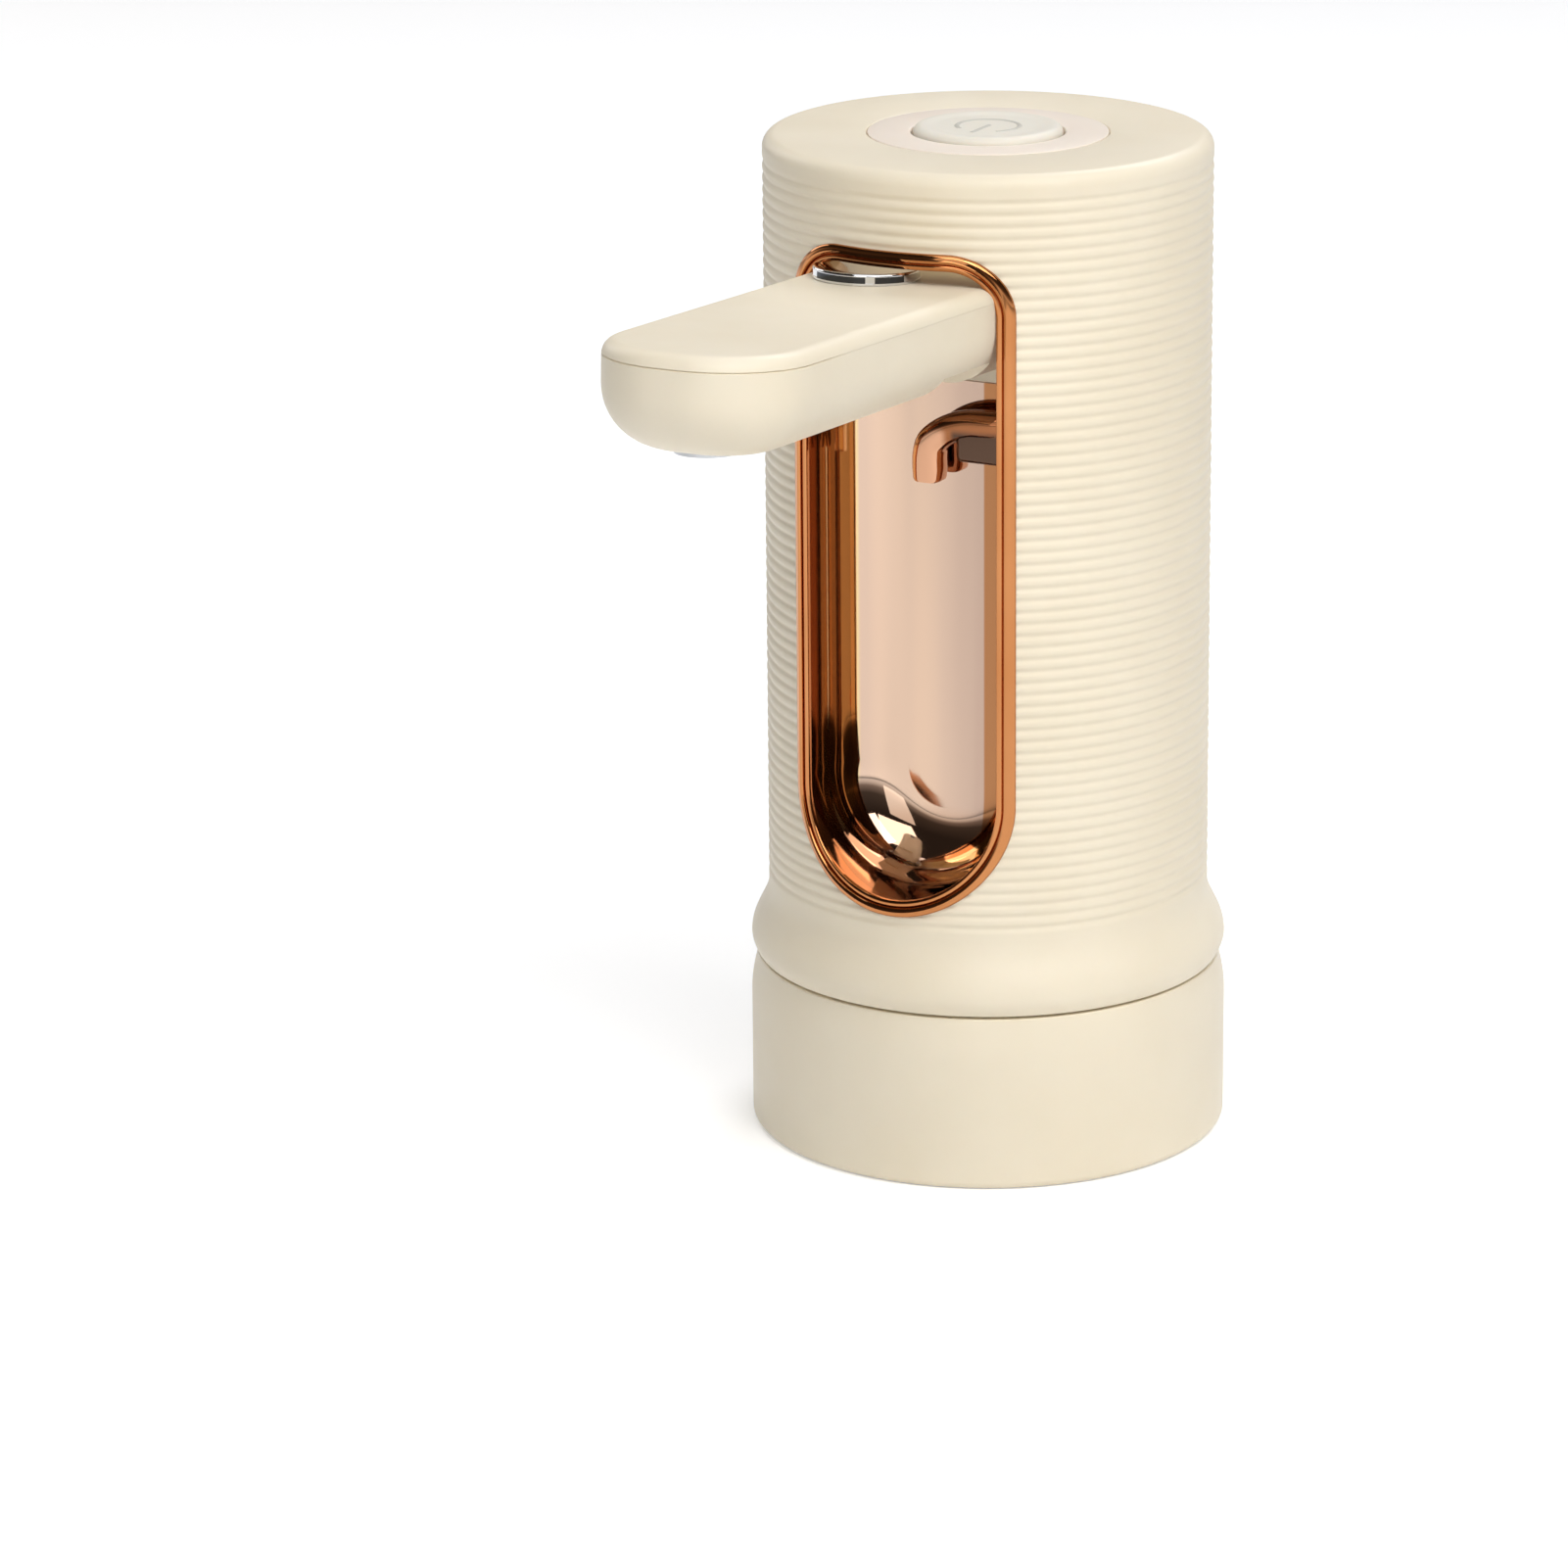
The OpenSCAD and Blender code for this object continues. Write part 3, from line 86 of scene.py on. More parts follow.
def tidyMesh(piece, sharp=34):
    bm = bmesh.new()
    bm.from_mesh(piece.data)
    bmesh.ops.remove_doubles(bm, verts=bm.verts, dist=0.002 * mm)
    bmesh.ops.dissolve_degenerate(bm, edges=bm.edges, dist=0.001 * mm)
    bmesh.ops.recalc_face_normals(bm, faces=bm.faces)
    bm.to_mesh(piece.data)
    bm.free()
    piece.data.shade_smooth()
    piece.data.set_sharp_from_angle(angle=math.radians(sharp))


def applyAll(piece):
    graph = bpy.context.evaluated_depsgraph_get()
    mesh = bpy.data.meshes.new_from_object(piece.evaluated_get(graph))
    piece.modifiers.clear()
    piece.data = mesh


def cutAway(piece, cutters, how="DIFFERENCE"):
    for cutter in cutters:
        step = piece.modifiers.new("cut", "BOOLEAN")
        step.operation = how
        step.solver = "EXACT"
        step.object = cutter
    applyAll(piece)
    for cutter in cutters:
        bpy.data.objects.remove(cutter)
    tidyMesh(piece)


def roundEdges(piece, width, parts, limit):
    step = piece.modifiers.new("round", "BEVEL")
    step.width = width * mm
    step.segments = parts
    step.limit_method = "ANGLE"
    step.angle_limit = math.radians(limit)
    step.harden_normals = False
    applyAll(piece)
    tidyMesh(piece)


def arc(cx, cz, radius, start, end, parts):
    return [(cx + radius * math.cos(math.radians(start + (end - start) * i / parts)),
             cz + radius * math.sin(math.radians(start + (end - start) * i / parts)))
            for i in range(parts + 1)]


def turned(name, profile, parts=192):
    points, faces = [], []
    count = len(profile)
    for i in range(parts):
        a = 2 * math.pi * i / parts
        points += [(r * math.sin(a), -r * math.cos(a), z) for r, z in profile]
    for i in range(parts):
        j = (i + 1) % parts
        for k in range(count):
            m = (k + 1) % count
            faces.append((i * count + k, j * count + k, j * count + m, i * count + m))
    return newPiece(name, points, faces)


def prism(name, outline, yNear, yFar):
    count = len(outline)
    points = [(x, yNear, z) for x, z in outline] + [(x, yFar, z) for x, z in outline]
    faces = [tuple(range(count)), tuple(range(2 * count - 1, count - 1, -1))]
    faces += [(i, (i + 1) % count, count + (i + 1) % count, count + i) for i in range(count)]
    return newPiece(name, points, faces)


def block(name, low, high):
    points = [(x, y, z) for x in (low[0], high[0]) for y in (low[1], high[1]) for z in (low[2], high[2])]
    faces = [(0, 1, 3, 2), (4, 6, 7, 5), (0, 4, 5, 1), (2, 3, 7, 6), (0, 2, 6, 4), (1, 5, 7, 3)]
    return newPiece(name, points, faces)


def joinPieces(main, others):
    bm = bmesh.new()
    for part in [main] + others:
        bm.from_mesh(part.data)
    bm.to_mesh(main.data)
    bm.free()
    for part in others:
        bpy.data.objects.remove(part)
    tidyMesh(main)


def placeOnSpout(piece):
    piece.data.transform(Matrix.Translation((0, hinge["y"] * mm, hinge["z"] * mm))
                         @ Matrix.Rotation(math.radians(hinge["tilt"]), 4, "X"))


# Front outline of the recess: points with the direction that leads away from the opening
def recessPath(step=0.5):
    o = opening
    path = []
    high = o["top"] - o["corner"]
    inner = o["half"] - o["corner"]

    def line(x0, z0, x1, z1, nx, nz):
        parts = max(2, int(math.hypot(x1 - x0, z1 - z0) / (step * 2)))
        path.extend((x0 + (x1 - x0) * i / parts, z0 + (z1 - z0) * i / parts, nx, nz) for i in range(parts))

    def bend(cx, cz, radius, start, end):
        parts = max(8, int(abs(math.radians(end - start)) * radius / step))
        for i in range(parts):
            a = math.radians(start + (end - start) * i / parts)
            path.append((cx + radius * math.cos(a), cz + radius * math.sin(a), math.cos(a), math.sin(a)))

    line(o["half"], o["bowl"], o["half"], high, 1, 0)
    bend(inner, high, o["corner"], 0, 90)
    line(inner, o["top"], -inner, o["top"], 0, 1)
    bend(-inner, high, o["corner"], 90, 180)
    line(-o["half"], high, -o["half"], o["bowl"], -1, 0)
    bend(0, o["bowl"], o["half"], 180, 360)
    return path


def sweptOnBody(name, path, section):
    # Carries the section round a closed path that lies on the tube
    points, faces = [], []
    count = len(section)
    for x, z, nx, nz in path:
        for away, radius in section:
            px = x + away * nx
            points.append((px, -math.sqrt(max(radius * radius - px * px, 0)), z + away * nz))
    total = len(path)
    for i in range(total):
        j = (i + 1) % total
        for k in range(count):
            m = (k + 1) % count
            faces.append((i * count + k, j * count + k, j * count + m, i * count + m))
    return newPiece(name, points, faces)


# Finishes
def startFinish(name):
    material = bpy.data.materials.new(name)
    material.use_nodes = True
    nodes, links = material.node_tree.nodes, material.node_tree.links
    shader = nodes["Principled BSDF"]
    place = nodes.new("ShaderNodeTexCoord")
    return material, nodes, links, shader, place.outputs["Object"]


def grain(nodes, links, place, scale, detail=3.0, stretch=(1, 1, 1)):
    mapping = nodes.new("ShaderNodeMapping")
    mapping.inputs["Scale"].default_value = stretch
    links.new(place, mapping.inputs["Vector"])
    noise = nodes.new("ShaderNodeTexNoise")
    noise.inputs["Scale"].default_value = scale
    noise.inputs["Detail"].default_value = detail
    links.new(mapping.outputs["Vector"], noise.inputs["Vector"])
    return noise.outputs["Fac"]


def between(nodes, links, factor, low, high):
    # Noise hardly leaves the range from 0.3 to 0.7, so that range is spread over the values
    ramp = nodes.new("ShaderNodeMapRange")
    ramp.inputs["From Min"].default_value = 0.3
    ramp.inputs["From Max"].default_value = 0.7
    ramp.inputs["To Min"].default_value = low
    ramp.inputs["To Max"].default_value = high
    links.new(factor, ramp.inputs["Value"])
    return ramp.outputs["Result"]


def tint(nodes, links, factor, first, second):
    mix = nodes.new("ShaderNodeMix")
    mix.data_type = "RGBA"
    for socket, value in (("A", first), ("B", second)):
        if isinstance(value, tuple):
            mix.inputs[socket].default_value = value
        else:
            links.new(value, mix.inputs[socket])
    links.new(factor, mix.inputs["Factor"])
    return mix.outputs["Result"]


def relief(nodes, links, shader, height, strength, distance):
    bump = nodes.new("ShaderNodeBump")
    bump.inputs["Strength"].default_value = strength
    bump.inputs["Distance"].default_value = distance * mm
    links.new(height, bump.inputs["Height"])
    links.new(bump.outputs["Normal"], shader.inputs["Normal"])


def finish(name, look):
    material, nodes, links, shader, place = startFinish(name)
    stretch = look.get("stretch", (1, 1, 1))
    first = linear(*look["colour"])
    second = linear(*look["shade"])
    patches = between(nodes, links, grain(nodes, links, place, look.get("patches", 70), 3, stretch), 0, 1)
    links.new(tint(nodes, links, patches, first, second), shader.inputs["Base Color"])
    smudge = grain(nodes, links, place, look.get("smudge", 300), 4, stretch)
    links.new(between(nodes, links, smudge, *look["roughness"]), shader.inputs["Roughness"])
    fine = grain(nodes, links, place, look.get("grain", 2400), 2, stretch)
    relief(nodes, links, shader, fine, look.get("bump", 0.1), look.get("depth", 0.03))
    shader.inputs["Metallic"].default_value = look.get("metal", 0.0)
    shader.inputs["IOR"].default_value = 1.46
    shader.inputs["Subsurface Weight"].default_value = look.get("inside", 0.0)
    shader.inputs["Subsurface Radius"].default_value = (1.0, 0.7, 0.45)
    shader.inputs["Subsurface Scale"].default_value = look.get("insideDepth", 0.8) * mm
    shader.inputs["Coat Weight"].default_value = look.get("coat", 0.0)
    shader.inputs["Coat Roughness"].default_value = 0.1
    shader.inputs["Transmission Weight"].default_value = look.get("clear", 0.0)
    # Light that the mirror tub throws onto the inner block
    shader.inputs["Emission Color"].default_value = first
    shader.inputs["Emission Strength"].default_value = look.get("glow", 0.0)
    return material


looks = {
    "creamShell": {"colour": (247, 237, 216), "shade": (243, 232, 209), "roughness": (0.4, 0.48),
                   "inside": 0.05, "bump": 0.12, "depth": 0.02, "grain": 3200},
    "creamInner": {"colour": (244, 233, 213), "shade": (238, 226, 203), "roughness": (0.45, 0.55),
                   "glow": 0.22},
    "roseRim": {"colour": (200, 138, 90), "shade": (186, 122, 74), "roughness": (0.05, 0.1), "metal": 1.0,
                "patches": 60, "grain": 160, "bump": 0.08, "depth": 0.04, "smudge": 150},
    "chromeTrim": {"colour": (228, 230, 234), "shade": (220, 222, 227), "roughness": (0.04, 0.08),
                   "metal": 1.0, "grain": 200, "bump": 0.06, "depth": 0.03},
    # Darker chrome for the disc's painted dark reflections
    "darkReflectionChrome": {"colour": (74, 76, 80), "shade": (62, 64, 68), "roughness": (0.08, 0.14), "metal": 1.0},
    "platePlastic": {"colour": (249, 237, 224), "shade": (245, 232, 218), "roughness": (0.42, 0.5),
                     "inside": 0.08},
    "buttonSilicone": {"colour": (238, 233, 221), "shade": (233, 228, 215), "roughness": (0.5, 0.6),
                       "inside": 0.15, "bump": 0.15, "depth": 0.02, "grain": 3600},
    "buttonMark": {"colour": (206, 202, 192), "shade": (198, 195, 185), "roughness": (0.45, 0.55)},
    "steel": {"colour": (196, 198, 202), "shade": (184, 187, 192), "roughness": (0.18, 0.3), "metal": 1.0,
              "stretch": (1, 12, 12), "grain": 900, "bump": 0.1, "depth": 0.01},
    "nozzleSteel": {"colour": (208, 209, 211), "shade": (192, 194, 198), "roughness": (0.12, 0.22),
                    "metal": 1.0, "stretch": (1, 1, 9), "grain": 700, "bump": 0.08, "depth": 0.01},
    "zincScrew": {"colour": (176, 178, 182), "shade": (150, 153, 160), "roughness": (0.28, 0.42),
                  "metal": 1.0, "patches": 400},
    "blackRubber": {"colour": (44, 44, 46), "shade": (36, 36, 38), "roughness": (0.6, 0.75), "bump": 0.2},
    "clearSilicone": {"colour": (226, 228, 224), "shade": (214, 217, 213), "roughness": (0.25, 0.35),
                      "inside": 0.4, "insideDepth": 1.5},
    "sealSilicone": {"colour": (226, 224, 216), "shade": (217, 215, 206), "roughness": (0.42, 0.52),
                     "inside": 0.25, "bump": 0.15},
    "blackPlastic": {"colour": (38, 38, 40), "shade": (30, 30, 32), "roughness": (0.38, 0.5), "bump": 0.2},
    "whitePlastic": {"colour": (232, 231, 226), "shade": (225, 224, 218), "roughness": (0.4, 0.5)},
    "flexFilm": {"colour": (196, 128, 52), "shade": (176, 108, 40), "roughness": (0.25, 0.35), "coat": 0.4},
    "ledLens": {"colour": (240, 246, 250), "shade": (226, 236, 244), "roughness": (0.1, 0.18), "clear": 0.4},
    "cellSleeve": {"colour": (52, 96, 158), "shade": (44, 84, 142), "roughness": (0.25, 0.38), "coat": 0.3},
    "nickel": {"colour": (198, 194, 184), "shade": (186, 182, 170), "roughness": (0.22, 0.34), "metal": 1.0},
    "magnet": {"colour": (74, 74, 78), "shade": (60, 60, 66), "roughness": (0.4, 0.55), "metal": 0.6},
    "copperIron": {"colour": (176, 104, 64), "shade": (140, 78, 48), "roughness": (0.3, 0.45), "metal": 1.0,
                   "stretch": (1, 1, 10), "patches": 500},
    "redRubber": {"colour": (168, 52, 44), "shade": (150, 44, 38), "roughness": (0.5, 0.65), "bump": 0.2},
    "chipBlack": {"colour": (34, 35, 38), "shade": (42, 43, 47), "roughness": (0.45, 0.6), "bump": 0.25},
}
finishes = {name: finish(name, look) for name, look in looks.items()}


# Green circuit board: solder mask over fine tracks
board = {"mask": (28, 96, 62), "maskShade": (30, 104, 66), "gaps": (58, 138, 88), "scale": 420,
         "gapWide": 0.035, "smudge": 400, "roughness": (0.28, 0.42), "bump": 0.2, "depth": 0.03}


def boardFinish():
    material, nodes, links, shader, place = startFinish("greenBoard")
    tracks = nodes.new("ShaderNodeTexBrick")
    tracks.inputs["Scale"].default_value = board["scale"]
    tracks.inputs["Mortar Size"].default_value = board["gapWide"]
    tracks.inputs["Color1"].default_value = linear(*board["mask"])
    tracks.inputs["Color2"].default_value = linear(*board["maskShade"])
    tracks.inputs["Mortar"].default_value = linear(*board["gaps"])
    turn = nodes.new("ShaderNodeMapping")
    turn.inputs["Rotation"].default_value = (math.radians(90), 0, 0)
    links.new(place, turn.inputs["Vector"])
    links.new(turn.outputs["Vector"], tracks.inputs["Vector"])
    links.new(tracks.outputs["Color"], shader.inputs["Base Color"])
    smudge = grain(nodes, links, place, board["smudge"])
    links.new(between(nodes, links, smudge, *board["roughness"]), shader.inputs["Roughness"])
    relief(nodes, links, shader, tracks.outputs["Fac"], board["bump"], board["depth"])
    return material


finishes["greenBoard"] = boardFinish()


# Plated pieces whose tint changes from place to place
def axes(nodes, links, place):
    split = nodes.new("ShaderNodeSeparateXYZ")
    links.new(place, split.inputs[0])
    return split.outputs


def change(nodes, links, value, limits):
    # Turns a coordinate into a soft step between two places, in mm
    step = nodes.new("ShaderNodeMapRange")
    step.interpolation_type = "SMOOTHSTEP"
    step.inputs["From Min"].default_value = limits[0] * mm
    step.inputs["From Max"].default_value = limits[1] * mm
    links.new(value, step.inputs["Value"])
    return step.outputs["Result"]


def platedSkin(nodes, links, shader, place, look, colour):
    links.new(colour, shader.inputs["Base Color"])
    smudge = grain(nodes, links, place, look["smudge"])
    links.new(between(nodes, links, smudge, *look["roughness"]), shader.inputs["Roughness"])
    relief(nodes, links, shader, grain(nodes, links, place, look["grain"], 2), look["bump"], look["depth"])
    shader.inputs["Metallic"].default_value = 1.0


# Mirror tub: one rose plating with its reflections painted into the colour: rose beige at the back, lighter
# at the left and greyer at the right, pale gold on the left wall, copper at the right corner and low in
# front, a rosier bowl and soft upright bands. The last five values say where the tints change, in mm
tubLook = {"left": (212, 183, 160), "leftShade": (202, 175, 156), "right": (192, 168, 152),
           "rightShade": (184, 158, 142), "wall": (232, 208, 162), "wallShade": (222, 194, 146),
           "corner": (164, 114, 76), "bowl": (192, 158, 134), "front": (172, 118, 76),
           "reflectionBands": 260, "reflectionBandStretch": (1, 1, 0.03), "smudge": 120, "roughness": (0.04, 0.08),
           "grain": 90, "bump": 0.1, "depth": 0.05, "backTurn": (-2.5, 4.5), "wallFrom": (-9.1, -9.4),
           "cornerFrom": (3.95, 4.2), "bowlFrom": (36.5, 34.0), "frontFrom": (-15.5, -18.5)}


def tubFinish():
    look = tubLook
    material, nodes, links, shader, place = startFinish("roseTub")
    x, y, z = axes(nodes, links, place)
    # Painted reflections: soft upright bands of lighter and darker tint
    reflectionBands = between(nodes, links, grain(nodes, links, place, look["reflectionBands"], 1, look["reflectionBandStretch"]), 0, 1)
    left = tint(nodes, links, reflectionBands, linear(*look["left"]), linear(*look["leftShade"]))
    right = tint(nodes, links, reflectionBands, linear(*look["right"]), linear(*look["rightShade"]))
    wall = tint(nodes, links, reflectionBands, linear(*look["wall"]), linear(*look["wallShade"]))
    # Painted reflections: lighter left and greyer right back, gold left wall, copper right corner, rosier
    # bowl, copper low in front
    low = change(nodes, links, z, look["bowlFrom"])
    back = tint(nodes, links, change(nodes, links, x, look["backTurn"]), left, right)
    back = tint(nodes, links, low, back, linear(*look["bowl"]))
    colour = tint(nodes, links, change(nodes, links, x, look["wallFrom"]), back, wall)
    colour = tint(nodes, links, change(nodes, links, x, look["cornerFrom"]), colour, linear(*look["corner"]))
    front = tint(nodes, links, low, colour, linear(*look["front"]))
    colour = tint(nodes, links, change(nodes, links, y, look["frontFrom"]), colour, front)
    platedSkin(nodes, links, shader, place, look, colour)
    return material


finishes["roseTub"] = tubFinish()

# Plating of the hook with its reflections painted into the colour: pale on the lip that hangs down, darker on
# the arm, and a dark painted reflection on the thick part at the right
hookLook = {"lip": (208, 158, 126), "arm": (152, 98, 64), "heel": (88, 68, 56), "lipTo": (0.9, 1.9),
            "heelFrom": (1.9, 2.6), "armFrom": (76.6, 77.6), "smudge": 200, "roughness": (0.05, 0.12),
            "grain": 160, "bump": 0.1, "depth": 0.04}


def hookFinish():
    look = hookLook
    material, nodes, links, shader, place = startFinish("hookPlating")
    x, y, z = axes(nodes, links, place)
    arm, heel = linear(*look["arm"]), linear(*look["heel"])
    # Painted reflections: pale lip, darker arm, dark thick part at the right
    colour = tint(nodes, links, change(nodes, links, x, look["lipTo"]), linear(*look["lip"]), arm)
    low = tint(nodes, links, change(nodes, links, x, look["heelFrom"]), colour, heel)
    colour = tint(nodes, links, change(nodes, links, z, look["armFrom"]), low, arm)
    platedSkin(nodes, links, shader, place, look, colour)
    return material


finishes["hookPlating"] = hookFinish()
print("finishes made:", len(finishes))

# Which finish each carried-over node takes
nodeFinish = {
    "creamInner": ["hinge_block"],
    "steel": ["hinge_spindle", "pump_motor_case"],
    "blackRubber": ["spindle_seals", "pump_pad"],
    "whitePlastic": ["friction_washers", "switch_plunger", "chassis", "check_valve", "base_manifold"],
    "clearSilicone": ["spout_tube", "air_tube", "riser_tube"],
    "nozzleSteel": ["outlet_nozzle"],
    "blackPlastic": ["switch_body", "pump_head"],
    "greenBoard": ["switch_board", "control_board"],
    "flexFilm": ["switch_flex"],
    "ledLens": ["status_led"],
    "cellSleeve": ["battery_cell"],
    "nickel": ["battery_tabs", "usb_socket"],
    "magnet": ["motor_magnets"],
    "copperIron": ["motor_rotor"],
    "zincScrew": ["pump_eccentric", "board_screws", "liner_screws", "hinge_screws", "foot_screws",
                  "base_screws"],
    "redRubber": ["pump_diaphragm", "duckbill"],
    "sealSilicone": ["neck_seal"],
    "chipBlack": ["board_chips"],
    "creamShell": ["hose_nipple"],
}
for finishName, nodeNames in nodeFinish.items():
    for nodeName in nodeNames:
        shown = frame["nodes"].get(nodeName)
        if shown is None:
            print("no node", nodeName)
            continue
        shown.data.materials.clear()
        shown.data.materials.append(finishes[finishName])
        shown.data.shade_smooth()
        shown.data.set_sharp_from_angle(angle=math.radians(32))
print("finishes laid on the carried-over nodes")


def settle(piece, finishName, slot, carrier, *nodeNames):
    piece.data.materials.clear()
    piece.data.materials.append(finishes[finishName])
    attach(piece, carrier)
    known = [n for n in nodeNames if n in frame["nodes"]]
    if known:
        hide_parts(*known)
    print("made", piece.name, len(piece.data.polygons), "faces")


# Bodies that the pieces ride on
carriers = {name: next(b for b, obj in frame["bodies"].items() if frame["nodes"][name].parent == obj)
            for name in ("body_shell", "spout_shell", "power_button")}


# Ribbed body with its rounded top and the turned foot ring
ribbed = {"perRib": 10, "sharpness": 1.5, "around": 224, "ringParts": 12, "flareParts": 24,
          "grown": 0.72, "windowFrom": -6, "windowTo": -29,
          "portHalf": 4.82, "portHigh": 1.95, "portZ": 35.4, "portFrom": 18, "portTo": 26}


def bodyProfile():
    b = body
    spigot, low, ring = b["spigotRadius"], b["shellLow"], b["ringRadius"]
    beadLow, beadMiddle, beadHigh = (low - down for down in b["beadDown"])
    line = [(b["bore"], b["spigotLow"]), (spigot - b["spigotEdge"], b["spigotLow"]),
            (spigot, b["spigotLow"] + b["spigotEdge"]), (spigot, beadLow),
            (spigot + b["beadOut"], beadMiddle), (spigot, beadHigh), (spigot, low + b["underLift"]),
            (ring - b["ringLead"] - b["ringUnder"], low)]
    for i in range(ribbed["ringParts"] + 1):
        s = 1 - i / ribbed["ringParts"]
        line.append((ring - b["ringLead"] * (1 - math.cos(math.radians(90 * s))),
                     b["ringHigh"] - (b["ringHigh"] - low) * s + (b["ringEdge"] if i == 0 else 0)))
    for i in range(1, ribbed["flareParts"] + 1):
        s = i / ribbed["flareParts"]
        line.append((b["radius"] + (ring - b["radius"]) * (1 + math.cos(math.pi * s)) / 2,
                     b["ringHigh"] + b["flare"] * s))
    for i in range((b["ribCount"] + 1) * ribbed["perRib"] + 1):
        phase = i / ribbed["perRib"] - 0.5
        dip = (0.5 + 0.5 * math.cos(2 * math.pi * phase)) ** ribbed["sharpness"]
        line.append((b["radius"] - b["ribDepth"] * dip, b["ribFirst"] + phase * b["ribPitch"]))
    seat, seatLow, roof = b["seatRadius"], b["top"] - b["seatDepth"], b["roofRound"]
    line += arc(b["radius"] - b["topRound"], b["top"] - b["topRound"], b["topRound"], 0, 90, 14)
    line += arc(seat + b["seatEdge"], b["top"] - b["seatEdge"], b["seatEdge"], 90, 180, 3)
    line += [(seat, seatLow), (b["holeRadius"], seatLow), (b["holeRadius"], b["roof"]),
             (b["bore"] - roof, b["roof"])]
    line += arc(b["bore"] - roof, b["roof"] - roof, roof, 90, 0, 4)[1:]
    return line


def makeBody():
    c = ribbed
    piece = turned("ribbedBody", bodyProfile(), c["around"])
    window = prism("window", [(x + c["grown"] * nx, z + c["grown"] * nz) for x, z, nx, nz in recessPath(0.7)],
                   c["windowFrom"], c["windowTo"])
    r = c["portHigh"]
    half = c["portHalf"] - r
    port = prism("port", arc(half, c["portZ"], r, -90, 90, 12) + arc(-half, c["portZ"], r, 90, 270, 12),
                 c["portFrom"], c["portTo"])
    cutAway(piece, [window, port])
    settle(piece, "creamShell", "cream_shell", carriers["body_shell"], "body_shell")


makeBody()


# Cup that stands on the bottle, with the socket for its neck
cup = {"radius": 24.9, "high": 18.2, "lead": 0.7, "leadHigh": 4.4, "leadParts": 14, "edgeIn": 0.14,
       "edgeDown": 0.12, "foot": 0.9, "socket": 16.5, "mouthRound": 0.5, "socketRound": 0.6, "deep": 13.0,
       "hole": 11.2, "roof": 15.0, "wallIn": 22.9, "wallEdge": 0.2, "hollowLow": 2.0, "socketOut": 18.1}


def makeCup():
    c = cup
    mouth, inner, high = c["mouthRound"], c["socketRound"], c["high"]
    line = arc(c["socket"] + mouth, mouth, mouth, 180, 270, 5)
    line += arc(c["radius"] - c["foot"], c["foot"], c["foot"], 270, 360, 8)
    for i in range(c["leadParts"] + 1):
        s = i / c["leadParts"]
        line.append((c["radius"] - c["lead"] * (1 - math.cos(math.radians(90 * s))),
                     high - c["edgeDown"] - (c["leadHigh"] - c["edgeDown"]) * (1 - s)))
    line += [(c["radius"] - c["lead"] - c["edgeIn"], high), (c["wallIn"] + c["wallEdge"], high),
             (c["wallIn"], high - c["wallEdge"]), (c["wallIn"], c["hollowLow"]),
             (c["socketOut"], c["hollowLow"]), (c["socketOut"], c["roof"]), (c["hole"], c["roof"]),
             (c["hole"], c["deep"])]
    line += arc(c["socket"] - inner, c["deep"] - inner, inner, 90, 0, 4)
    piece = turned("neckCup", line, 224)
    settle(piece, "creamShell", "cream_shell", carriers["body_shell"], "base_cup")


makeCup()


# Plated lip round the recess: two rounded ridges with a groove between them
lip = {"inner": -0.75, "outer": 0.98, "part": -0.02, "lap": 0.68, "crest": 23.5, "deep": 20.4, "thick": 0.95,
       "foot": 0.42, "innerRise": 0.3, "innerDrop": 0.12, "outerRise": 0.42, "grooveLift": 0.08,
       "edgeDown": 0.5}


def makeLip():
    c = lip
    crest, ledge, edge = c["crest"], c["crest"] - c["thick"], c["crest"] - c["edgeDown"]
    section = [(0, c["deep"]), (0, ledge), (c["inner"], ledge)]
    ridges = ((c["inner"], c["part"], c["innerRise"], c["innerDrop"], 0.0),
              (c["part"], c["outer"], c["outerRise"], 0.0, c["grooveLift"]))
    for start, end, rise, drop, lift in ridges:
        middle, half = (start + end) / 2, (end - start) / 2
        for degrees in range(8, 180, 14):
            a = math.radians(degrees)
            section.append((middle - half * math.cos(a), crest - c["foot"] - drop + rise * math.sin(a)
                            + (lift if degrees < 90 else 0)))
    section += [(c["outer"], edge), (c["lap"], edge), (c["lap"], c["deep"])]
    piece = sweptOnBody("recessLip", recessPath(0.4), section)
    settle(piece, "roseRim", "rose_plating", carriers["body_shell"], "window_rim")


makeLip()


# Mirror tub: an upright channel that ends below in a round bowl
tub = {"wall": 1.0, "front": 20.38, "lipZ": 81.5, "blockFront": -16.4, "backParts": 5, "bendParts": 18,
       "sideParts": 6, "rows": 24, "bowlRows": 96}


def tubPlan(grown, xSide):
    # Half plan from the middle of the back to the front edge
    o = opening
    cornerX = o["half"] - o["edge"]
    cornerY = o["back"] - o["edge"]
    front = -math.sqrt(tub["front"] ** 2 - min(abs(xSide) + grown * 0.5, o["half"] + tub["wall"]) ** 2)
    line = [(cornerX * i / tub["backParts"], o["back"] + grown) for i in range(tub["backParts"] + 1)]
    line += arc(cornerX, cornerY, o["edge"] + grown, 90, 0, tub["bendParts"])[1:]
    line += [(o["half"] + grown, cornerY + (front - cornerY) * (i + 1) / tub["sideParts"])
             for i in range(tub["sideParts"])]
    return line


def tubSide(grown):
    # Rows of points from the top of the right wall, down and round the bowl, to the top of the left wall
    half, bowl, top = opening["half"], opening["bowl"], tub["lipZ"]
    plan = tubPlan(grown, half)
    steps = [i / tub["rows"] for i in range(tub["rows"] + 1)]
    rows = [[(x, y, top + (bowl - top) * s) for x, y in plan] for s in steps]
    for i in range(1, tub["bowlRows"]):
        a = -math.pi * i / tub["bowlRows"]
        rows.append([(x * math.cos(a), y, bowl + x * math.sin(a))
                     for x, y in tubPlan(grown, half * math.cos(a))])
    return rows + [[(-x, y, bowl + (top - bowl) * s) for x, y in plan] for s in steps]


